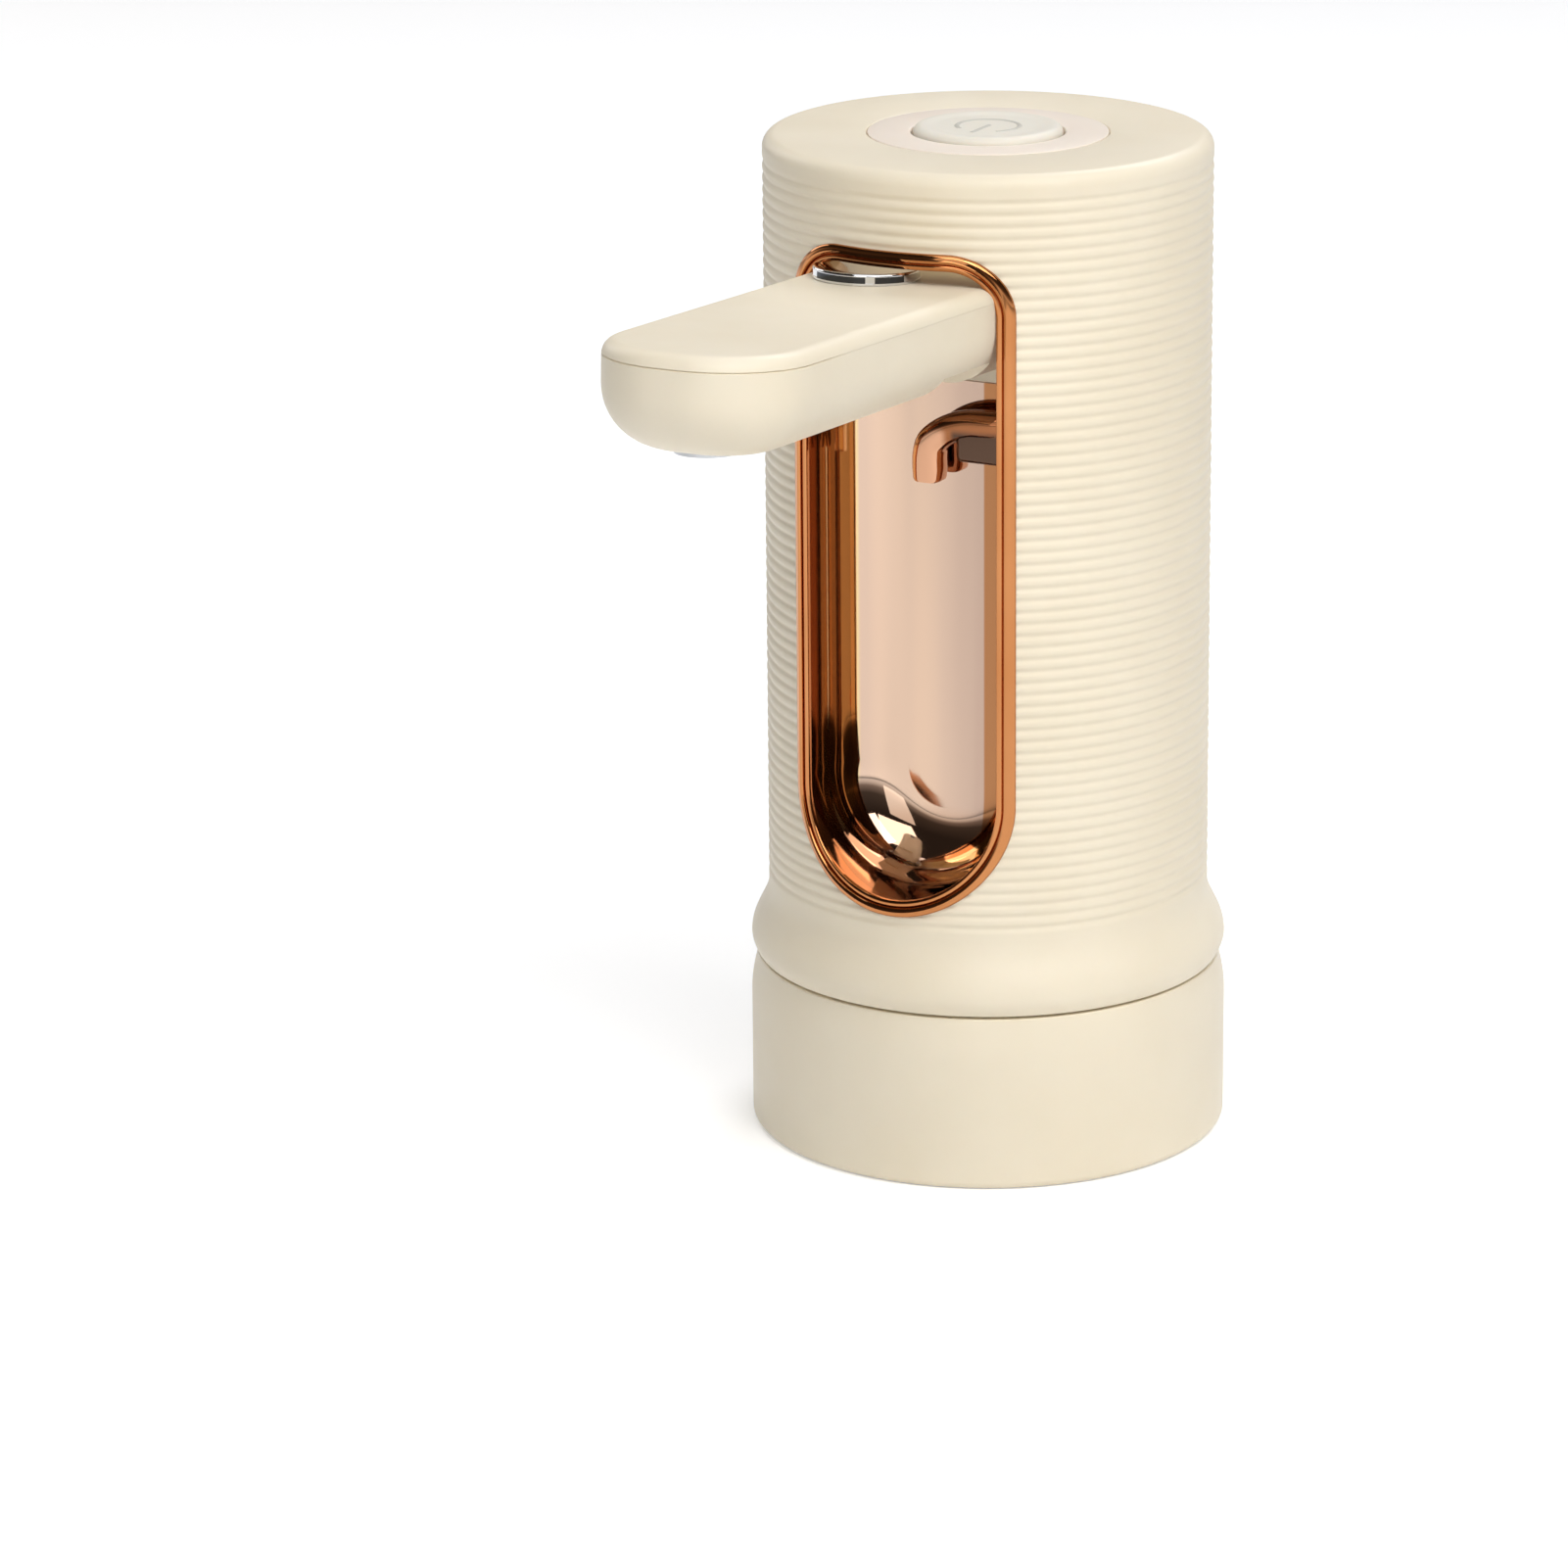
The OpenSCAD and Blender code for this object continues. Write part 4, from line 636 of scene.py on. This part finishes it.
def tubStrip():
    # Strip of the tub that goes on above, in front of the hinge block
    path = [p for p in recessPath(0.4) if p[1] > tub["lipZ"]]
    points, faces = [], []
    for x, z, nx, nz in path:
        front = -math.sqrt(tub["front"] ** 2 - x * x)
        for away, y in ((0, front), (0, tub["blockFront"]), (tub["wall"], tub["blockFront"]),
                        (tub["wall"], front)):
            points.append((x + away * nx, y, z + away * nz))
    for i in range(len(path) - 1):
        faces += [(i * 4 + k, i * 4 + 4 + k, i * 4 + 4 + (k + 1) % 4, i * 4 + (k + 1) % 4) for k in range(4)]
    faces += [(0, 1, 2, 3), tuple(len(points) - 4 + k for k in range(4))]
    return newPiece("tubStrip", points, faces)


def makeTub():
    inner, outer = tubSide(0), tubSide(tub["wall"])
    count = len(inner[0])
    width = 2 * count
    rows = [a + b[::-1] for a, b in zip(inner, outer)]
    points = [p for row in rows for p in row]
    faces = []
    for i in range(len(rows) - 1):
        faces += [(i * width + k, (i + 1) * width + k, (i + 1) * width + k + 1, i * width + k + 1)
                  for k in range(width - 1)]
    for end in (0, len(rows) - 1):
        faces += [(end * width + k, end * width + k + 1, end * width + width - 2 - k,
                   end * width + width - 1 - k) for k in range(count - 1)]
    piece = newPiece("mirrorTub", points, faces)
    joinPieces(piece, [tubStrip()])
    settle(piece, "roseTub", "rose_plating", carriers["body_shell"], "recess_liner")


makeTub()


# Fold-out spout: a soft round-cornered form, parted by a fine seam near its top.
# Lengths run back from the hinge; "pocket" is the room for the hook, as left, front, right and back
spout = {"half": 10.45, "length": 56.6, "corner": 9.4, "bow": 45.0, "low": -3.6, "high": 6.6, "lowRound": 6.0,
         "highRound": 1.5, "end": 0.4, "sideParts": 26, "cornerParts": 16, "bowParts": 14,
         "seam": 5.2, "seamGap": 0.02, "groove": 0.16, "grooveHigh": 0.09, "grooveCentre": 13, "grooveTo": 18,
         "grooveFade": 8, "landWide": 1.6, "landHigh": 0.12, "belly": 3.6, "nudge": 0.001,
         "wall": 1.5, "hollowEnd": -7.2, "hollowOver": 1.0, "pocket": (-3.2, -15.9, 9.3, -5.4),
         "pocketDeep": 3.8, "pocketWall": 0.8, "nozzleY": -48.2, "nozzleHole": 3.05, "nozzleDeep": 4.0,
         "barrelFrom": -2, "barrelTurn": 128, "barrelParts": 28, "barrelFlat": 5.0}


def spoutOutline(inside, yEnd):
    # Seen from above, drawn in by a distance, from the left of the hinge end round the tip to its right
    s = spout
    centreY = -s["length"] + s["bow"]
    cornerX = s["half"] - s["corner"]
    cornerY = centreY - math.sqrt((s["bow"] - s["corner"]) ** 2 - cornerX ** 2)
    radius = s["corner"] - inside
    turn = math.degrees(math.atan2(cornerX, centreY - cornerY))
    side = s["half"] - inside
    parts = s["sideParts"]
    line = [(-side, yEnd + (cornerY - yEnd) * i / parts) for i in range(parts)]
    line += arc(-cornerX, cornerY, radius, 180, 270 - turn, s["cornerParts"])
    line += arc(0, centreY, s["bow"] - max(inside, 0), 270 - turn, 270 + turn, s["bowParts"])[1:-1]
    line += arc(cornerX, cornerY, radius, 270 + turn, 360, s["cornerParts"])
    line += [(side, cornerY + (yEnd - cornerY) * (i + 1) / parts) for i in range(parts)]
    return line


def spoutSolid(name, rings, yEnd, dent=None):
    points, faces = [], []
    for inside, z in rings:
        for x, y in spoutOutline(inside, yEnd):
            shrink = dent(y, z) if dent else 0
            along = y + spout["length"] - spout["grooveCentre"]
            length = math.hypot(x, along) or 1
            points.append((x - shrink * x / length, y - shrink * along / length, z))
    count = len(points) // len(rings)
    for i in range(len(rings) - 1):
        for k in range(count):
            m = (k + 1) % count
            faces.append((i * count + k, i * count + m, (i + 1) * count + m, (i + 1) * count + k))
    faces += [tuple(range(count)), tuple(range((len(rings) - 1) * count, len(rings) * count))]
    return newPiece(name, points, faces)


def seamDent(y, z):
    # The seam shows round the tip and fades along the sides
    s = spout
    near = max(0.0, 1 - abs(z - s["seam"]) / s["grooveHigh"])
    fade = min(1.0, max(0.0, (s["grooveTo"] - s["length"] - y) / s["grooveFade"]))
    return s["groove"] * near * fade


def rounding(radius, steps):
    # How far a rounded edge draws in, and how far it falls short of its flat face
    return [(radius * (1 - math.cos(math.radians(a))), radius * (1 - math.sin(math.radians(a))))
            for a in steps]


def makeCover():
    s = spout
    seam, high = s["seam"], s["high"]
    rings = [(s["landWide"], seam), (4 * s["nudge"], seam), (3 * s["nudge"], seam + s["grooveHigh"])]
    rings += [(inside, high - short) for inside, short in rounding(s["highRound"], range(0, 91, 9))
              if high - short > seam + s["landHigh"]]
    rings += [(s["highRound"] + 0.1, high)]
    return spoutSolid("spoutTop", rings, s["end"], seamDent)


def spoutHollow():
    # Hollow of the spout, less the walls of the pocket for the hook
    s = spout
    wall, low, bend = s["wall"], s["low"], s["low"] + s["lowRound"]
    reach = s["lowRound"] - wall
    rings = [(wall, s["seam"] + s["hollowOver"]), (wall, bend)]
    rings += [(s["lowRound"] - reach * math.cos(math.radians(a)), bend - reach * math.sin(math.radians(a)))
              for a in range(10, 88, 10)]
    rings += [(s["lowRound"] - 20 * s["nudge"], low + wall)]
    hollow = spoutSolid("hollow", rings, s["hollowEnd"])
    x0, y0, x1, y1 = s["pocket"]
    t = s["pocketWall"]
    walls = block("pocketBox", (x0 - t, y0 - t, low - 1), (x1 + t, y1 + t, low + s["pocketDeep"] + t))
    cutAway(hollow, [walls])
    return hollow


def spoutBarrel():
    # Round hinge end
    s = spout
    points, faces = [], []
    half, edge, high, bend = s["half"], s["highRound"], s["high"], s["low"] + s["lowRound"]
    columns = [(-half, 0.0), (-half, bend), (-half, high - edge)]
    columns += arc(-half + edge, high - edge, edge, 165, 90, 5)
    columns += [(-s["barrelFlat"], high), (0.0, high)]
    columns += [(-x, radius) for x, radius in columns[-2::-1]]
    turns, count = s["barrelParts"], len(columns)
    for i in range(turns + 1):
        a = math.radians(s["barrelFrom"] + s["barrelTurn"] * i / turns)
        for x, radius in columns:
            beyond = max(abs(x) - half + s["lowRound"], 0)
            floorZ = bend - math.sqrt(max(s["lowRound"] ** 2 - beyond ** 2, 0))
            points.append((x, radius * math.sin(a), max(radius * math.cos(a), floorZ)))
    for i in range(turns):
        faces += [(i * count + k, i * count + k + 1, (i + 1) * count + k + 1, (i + 1) * count + k)
                  for k in range(count - 1)]
    return newPiece("barrel", points, faces)


def upright(name, cx, cy, radius, low, high, parts=48):
    line = arc(cx, cy, radius, 0, 360 - 360 / parts, parts - 1)
    points = [(x, y, low) for x, y in line] + [(x, y, high) for x, y in line]
    faces = [tuple(range(parts)), tuple(range(2 * parts - 1, parts - 1, -1))]
    faces += [(i, (i + 1) % parts, parts + (i + 1) % parts, parts + i) for i in range(parts)]
    return newPiece(name, points, faces)


def makeShell():
    s = spout
    low, under = s["low"], s["seam"] - s["seamGap"]
    rings = [(s["landWide"], under), (0.0, under), (0.0, s["seam"] - s["grooveHigh"] - s["seamGap"]),
             (0.0, s["belly"])]
    rings += [(inside, low + short) for inside, short in rounding(s["lowRound"], range(0, 91, 5))][:-1]
    rings += [(s["lowRound"] - 2 * s["nudge"], low)]
    shell = spoutSolid("spoutForm", rings, s["end"], seamDent)
    x0, y0, x1, y1 = s["pocket"]
    hollow = spoutHollow()
    pocket = block("pocket", (x0, y0, low - 2), (x1, y1, low + s["pocketDeep"]))
    hole = upright("hole", 0, s["nozzleY"], s["nozzleHole"], low - 2, low + s["nozzleDeep"])
    cutAway(shell, [hollow, pocket, hole])
    joinPieces(shell, [spoutBarrel()])
    return shell


for spoutPiece, spoutNode in ((makeCover(), "spout_cover"), (makeShell(), "spout_shell")):
    placeOnSpout(spoutPiece)
    settle(spoutPiece, "creamShell", "cream_shell", carriers["spout_shell"], spoutNode)


# Bright disc on the spout's hinge end. Its top is given by how far in from the side and how far down each
# point lies, and the painted dark reflections on its side band by their turns from the front
disc = {"radius": 5.4, "high": 1.2, "x": -3.2, "y": -8.1, "base": 6.61, "edge": 0.1, "topRound": 0.22,
        "stem": 1.45, "stemDeep": 1.3, "sideBandDeep": 0.03, "sideBandEdge": 0.02, "sideBandLow": 0.28,
        "sideBandHigh": 0.92, "darkReflections": [(-40, 24), (36, 71)],
        "topLine": [(0.5, 0), (0.62, 0.05), (0.7, 0.1), (1.0, 0.12), (5.4, 0.04)]}


def makeDisc():
    d = disc
    radius, base, edge, lead = d["radius"], d["base"], d["edge"], d["sideBandEdge"]
    top, low, high = base + d["high"], base + d["sideBandLow"], base + d["sideBandHigh"]
    inset = radius - d["sideBandDeep"]
    line = [(0, base - d["stemDeep"]), (d["stem"], base - d["stemDeep"]), (d["stem"], base),
            (radius - edge, base), (radius, base + edge), (radius, low), (inset, low + lead),
            (inset, high - lead), (radius, high)]
    line += arc(radius - d["topRound"], top - d["topRound"], d["topRound"], 0, 90, 6)
    line += [(radius - inside, top - down) for inside, down in d["topLine"]]
    piece = turned("brightDisc", line, 144)
    darkReflections = []
    for face in piece.data.polygons:
        x, y, z = (c / mm for c in face.center)
        turn = math.degrees(math.atan2(x, -y))
        if low < z < high and math.hypot(x, y) > radius - 0.2:
            if any(start < turn < end for start, end in d["darkReflections"]):
                darkReflections.append(face.index)
    piece.data.transform(Matrix.Translation((d["x"] * mm, d["y"] * mm, 0)))
    placeOnSpout(piece)
    settle(piece, "chromeTrim", "chrome_trim", carriers["spout_shell"], "chrome_disc")
    # Painted dark reflections: a darker chrome on parts of the side band
    piece.data.materials.append(finishes["darkReflectionChrome"])
    for index in darkReflections:
        piece.data.polygons[index].material_index = 1


makeDisc()


# Plate let into the top, and the button in it
topPlate = {"radius": 12.3, "hole": 7.9, "top": 105.35, "edge": 0.12, "holeEdge": 0.2, "flange": 1.6,
            "skirt": 10.6, "skirtLow": 100.9, "flangeHole": 8.9, "flangeZ": 102.6}
button = {"radius": 7.65, "flange": 8.65, "flangeLow": 101.5, "flangeHigh": 1.0, "stem": 3.0, "stemDeep": 1.4,
          "top": 106.0, "round": 0.8, "dish": 0.16, "dishWide": 1.6, "dishParts": 24,
          "markRadius": 3.2, "markWide": 0.5, "markParts": 60, "gap": 40, "barFrom": 0.3, "barTo": -3.9,
          "barParts": 10}


def makePlate():
    p = topPlate
    top, under = p["top"], p["top"] - p["flange"]
    line = arc(p["radius"] - p["edge"], top - p["edge"], p["edge"], 0, 90, 3)
    line += arc(p["hole"] + p["holeEdge"], top - p["holeEdge"], p["holeEdge"], 90, 180, 4)
    line += [(p["hole"], p["flangeZ"]), (p["flangeHole"], p["flangeZ"]), (p["flangeHole"], p["skirtLow"]),
             (p["skirt"], p["skirtLow"]), (p["skirt"], under), (p["radius"], under)]
    piece = turned("topPlate", line, 160)
    settle(piece, "platePlastic", "plate_plastic", carriers["body_shell"], "button_plate")


def makeButton():
    b = button
    top, low, flat = b["top"], b["flangeLow"], b["radius"] - b["round"]
    line = [(b["stem"], low + b["stemDeep"]), (b["stem"], low), (b["flange"], low),
            (b["flange"], low + b["flangeHigh"]), (b["radius"], low + b["flangeHigh"])]
    line += arc(flat, top - b["round"], b["round"], 0, 90, 8)
    for i in range(1, b["dishParts"] + 1):
        radius = flat * (1 - i / b["dishParts"])
        s = min(1.0, (flat - radius) / b["dishWide"])
        line.append((radius, top - b["dish"] * (3 * s * s - 2 * s * s * s)))
    line += [(0, low + b["stemDeep"])]
    piece = turned("pressButton", line, 128)
    settle(piece, "buttonSilicone", "button_silicone", carriers["power_button"], "power_button")


def makeMark():
    # Plain power mark: an open ring and a bar, standing slightly proud
    b = button
    z = b["top"] - b["dish"]
    ring = arc(0, 0, b["markRadius"], -90 + b["gap"], 270 - b["gap"], b["markParts"])
    bar = [(0, b["barFrom"] + (b["barTo"] - b["barFrom"]) * i / b["barParts"])
           for i in range(b["barParts"] + 1)]
    mark = markStroke("markRing", ring, b["markWide"], z)
    joinPieces(mark, [markStroke("markBar", bar, b["markWide"], z)])
    mark.name = "powerMark"
    settle(mark, "buttonMark", "button_silicone", carriers["power_button"])


def markStroke(name, line, wide, z):
    # A rounded ridge along a flat line
    section = [(-wide / 2, -0.1), (-wide / 2, 0.0), (-wide * 0.36, 0.05), (0, 0.07), (wide * 0.36, 0.05),
               (wide / 2, 0.0), (wide / 2, -0.1)]
    points, faces = [], []
    for i, (x, y) in enumerate(line):
        x0, y0 = line[max(i - 1, 0)]
        x1, y1 = line[min(i + 1, len(line) - 1)]
        length = math.hypot(x1 - x0, y1 - y0)
        nx, ny = (y1 - y0) / length, -(x1 - x0) / length
        points += [(x + nx * across, y + ny * across, z + up) for across, up in section]
    count = len(section)
    for i in range(len(line) - 1):
        faces += [(i * count + k, i * count + (k + 1) % count, (i + 1) * count + (k + 1) % count,
                   (i + 1) * count + k) for k in range(count)]
    faces += [tuple(range(count)), tuple(range((len(line) - 1) * count, len(line) * count))]
    return newPiece(name, points, faces)


makePlate()
makeButton()
makeMark()


# Plated hook in the recess: a lip that hangs down, an arm that runs to the back, and a thick right part
hook = {"points": [(-0.8, -12.1, 71.45), (-0.8, -12.1, 71.7), (-0.8, -12.1, 72.7), (-0.8, -12.1, 74.1),
                   (-0.5, -12.1, 75.4), (0.6, -12.1, 76.5), (2.1, -12.1, 77.3), (3.8, -12.1, 77.75),
                   (5.4, -12.1, 77.85), (6.6, -11.9, 77.85), (7.3, -11.2, 77.85), (7.45, -10.2, 77.85),
                   (7.45, -9.0, 77.85)],
        "wide": [1.2, 1.55, 1.7, 1.7, 1.65, 1.55, 1.5, 1.45, 1.45, 1.45, 1.45, 1.45, 1.45],
        "thick": 1.45, "endThick": 0.8, "boxy": 0.55, "roundish": 0.85,
        "heelLow": (2.4, -13.1, 73.8), "heelHigh": (8.8, -9.7, 78.2), "heelRound": 0.7}


def loftAlong(name, line, widths, thick, around=40):
    points, faces = [], []
    across = Vector((0, 1, 0))
    for i, centre in enumerate(line):
        before, after = Vector(line[max(i - 1, 0)]), Vector(line[min(i + 1, len(line) - 1)])
        ahead = (after - before).normalized()
        across = (across - ahead * across.dot(ahead)).normalized()
        side = ahead.cross(across)
        flat = thick * (hook["endThick"] if i == 0 else 1.0)
        power = hook["boxy"] + (hook["roundish"] - hook["boxy"]) * min(1.0, i / len(line) * 2)
        for k in range(around):
            a = 2 * math.pi * k / around
            c, s = math.cos(a), math.sin(a)
            u = math.copysign(abs(c) ** power, c) * widths[i]
            v = math.copysign(abs(s) ** power, s) * flat
            points.append(tuple(Vector(centre) + side * u + across * v))
    for i in range(len(line) - 1):
        faces += [(i * around + k, i * around + (k + 1) % around, (i + 1) * around + (k + 1) % around,
                   (i + 1) * around + k) for k in range(around)]
    faces += [tuple(range(around)), tuple(range((len(line) - 1) * around, len(line) * around))]
    return newPiece(name, points, faces)


def smoothLine(line, values, parts=5):
    # Passes a smooth line through the points, with the widths carried along
    outLine, outValues = [], []
    for i in range(len(line) - 1):
        p = [Vector(line[max(min(j, len(line) - 1), 0)]) for j in (i - 1, i, i + 1, i + 2)]
        for k in range(parts):
            t = k / parts
            outLine.append(tuple(0.5 * ((2 * p[1]) + (p[2] - p[0]) * t
                                        + (2 * p[0] - 5 * p[1] + 4 * p[2] - p[3]) * t ** 2
                                        + (3 * p[1] - p[0] - 3 * p[2] + p[3]) * t ** 3)))
            outValues.append(values[i] + (values[i + 1] - values[i]) * t)
    return outLine + [line[-1]], outValues + [values[-1]]


def makeHook():
    h = hook
    piece = loftAlong("platedHook", *smoothLine(h["points"], h["wide"]), h["thick"])
    heel = block("hookHeel", h["heelLow"], h["heelHigh"])
    roundEdges(heel, h["heelRound"], 5, 60)
    joinPieces(piece, [heel])
    settle(piece, "hookPlating", "rose_plating", carriers["body_shell"], "spout_catch")


makeHook()


# Pale floor, sky, lamps and camera. Lamp turns and heights are in degrees, their sizes in metres;
# "mirrorSky" is what plating and chrome see, from the horizon up
studio = {"floor": 6.0, "floorZ": -0.05, "floorColour": (250, 250, 250), "glow": 0.34, "sky": 0.03,
          "skyColour": (1.0, 0.99, 0.97, 1), "lampAim": 0.055, "lampFar": 1.0, "lampSize": (0.45, 0.45),
          "mirrorSky": [(0.0, (1, 1, 1, 1)), (0.5, (0.035, 0.028, 0.024, 1)), (0.03, (0.9, 0.88, 0.86, 1)),
                        (0.09, (0.3, 0.26, 0.24, 1)), (0.2, (0.08, 0.065, 0.055, 1))]}
lamps = {
    "keyLamp": {"round": 25, "high": 49, "power": 4.1, "colour": (1.0, 0.985, 0.96), "size": (0.7, 0.6)},
    "rightLamp": {"round": 70, "high": 48, "power": 4.3, "colour": (1.0, 0.985, 0.96), "size": (0.6, 0.6)},
    "backLamp": {"round": 180, "high": 48, "power": 3.0, "colour": (0.975, 0.99, 1.04)},
    "topLamp": {"round": 0, "high": 88, "power": 1.1, "colour": (0.975, 0.99, 1.04)},
    "leftLamp": {"round": -112, "high": 24, "power": 1.5, "colour": (1.0, 0.98, 0.95)},
    "frontLamp": {"round": 12, "high": 14, "power": 0.75, "colour": (1.0, 0.985, 0.96)},
}
shot = {"distance": 0.65, "down": 16.0, "round": 25.3, "aimZ": 0.05, "lens": 143.47, "sensor": 36,
        "shiftX": -0.1302, "shiftY": -0.0828, "clip": (0.01, 20)}


def seenRays(nodes, links):
    # Straight and see-through rays, mirror rays, and both kinds together
    path = nodes.new("ShaderNodeLightPath")

    def larger(first, second):
        node = nodes.new("ShaderNodeMath")
        node.operation = "MAXIMUM"
        links.new(first, node.inputs[0])
        links.new(second, node.inputs[1])
        return node.outputs[0]

    mirror = path.outputs["Is Glossy Ray"]
    straight = larger(path.outputs["Is Camera Ray"], path.outputs["Is Transmission Ray"])
    return straight, mirror, larger(straight, mirror)


def makeFloor():
    half, z = studio["floor"] / 2 / mm, studio["floorZ"]
    floor = newPiece("studioFloor", [(-half, -half, z), (half, -half, z), (half, half, z), (-half, half, z)],
                     [(0, 1, 2, 3)])
    material = bpy.data.materials.new("studioWhite")
    material.use_nodes = True
    nodes, links = material.node_tree.nodes, material.node_tree.links
    nodes.remove(nodes["Principled BSDF"])
    plain = nodes.new("ShaderNodeBsdfDiffuse")
    plain.inputs["Color"].default_value = linear(*studio["floorColour"])
    glow = nodes.new("ShaderNodeEmission")
    seen = seenRays(nodes, links)[2]
    scale = nodes.new("ShaderNodeMath")
    scale.operation = "MULTIPLY"
    scale.inputs[1].default_value = studio["glow"]
    links.new(seen, scale.inputs[0])
    links.new(scale.outputs[0], glow.inputs["Strength"])
    both = nodes.new("ShaderNodeAddShader")
    links.new(plain.outputs[0], both.inputs[0])
    links.new(glow.outputs[0], both.inputs[1])
    links.new(both.outputs[0], nodes["Material Output"].inputs["Surface"])
    floor.data.materials.append(material)


def makeSky():
    # Mirror rays see a dark room with a bright horizon, straight rays see white, all others a faint sky
    world = bpy.data.worlds.new("studioSky")
    bpy.context.scene.world = world
    world.use_nodes = True
    nodes, links = world.node_tree.nodes, world.node_tree.links
    soft = nodes["Background"]
    soft.inputs["Color"].default_value = studio["skyColour"]
    soft.inputs["Strength"].default_value = studio["sky"]
    white = nodes.new("ShaderNodeBackground")
    white.inputs["Color"].default_value = (1, 1, 1, 1)
    room = nodes.new("ShaderNodeBackground")
    place = nodes.new("ShaderNodeTexCoord")
    split = nodes.new("ShaderNodeSeparateXYZ")
    links.new(place.outputs["Generated"], split.inputs[0])
    ramp = nodes.new("ShaderNodeValToRGB")
    steps = ramp.color_ramp.elements
    for i, (at, colour) in enumerate(studio["mirrorSky"]):
        point = steps[i] if i < 2 else steps.new(at)
        point.position = at
        point.color = colour
    links.new(split.outputs["Z"], ramp.inputs["Fac"])
    links.new(ramp.outputs["Color"], room.inputs["Color"])
    straight, mirror = seenRays(nodes, links)[:2]

    def choose(factor, first, second):
        mix = nodes.new("ShaderNodeMixShader")
        links.new(factor, mix.inputs["Fac"])
        links.new(first.outputs[0], mix.inputs[1])
        links.new(second.outputs[0], mix.inputs[2])
        return mix

    whole = choose(straight, choose(mirror, soft, room), white)
    links.new(whole.outputs[0], nodes["World Output"].inputs["Surface"])


def aimed(name, data, turn, high, aimZ, far):
    # Places a lamp or camera by its turn and height in degrees, looking at a point on the tube's middle
    turn, high = math.radians(turn), math.radians(high)
    away = Vector((math.sin(turn) * math.cos(high), -math.cos(turn) * math.cos(high), math.sin(high)))
    holder = bpy.data.objects.new(name, data)
    bpy.context.scene.collection.objects.link(holder)
    holder.location = Vector((0, 0, aimZ)) + away * far
    holder.rotation_euler = (-away).to_track_quat("-Z", "Y").to_euler()
    return holder


def makeLamps():
    for name, lamp in lamps.items():
        light = bpy.data.lights.new(name, "AREA")
        light.shape = "RECTANGLE"
        light.size, light.size_y = lamp.get("size", studio["lampSize"])
        light.energy = lamp["power"]
        light.color = lamp["colour"]
        holder = aimed(name, light, lamp["round"], lamp["high"], studio["lampAim"], studio["lampFar"])
        holder.visible_camera = False


def makeCamera():
    data = bpy.data.cameras.new("shotCamera")
    data.sensor_width = shot["sensor"]
    data.lens = shot["lens"]
    data.shift_x, data.shift_y = shot["shiftX"], shot["shiftY"]
    data.clip_start, data.clip_end = shot["clip"]
    bpy.context.scene.camera = aimed("shotCamera", data, shot["round"], shot["down"], shot["aimZ"],
                                     shot["distance"])


makeFloor()
makeSky()
makeLamps()
makeCamera()
bpy.context.scene.view_settings.view_transform = "Standard"
print("studio set")
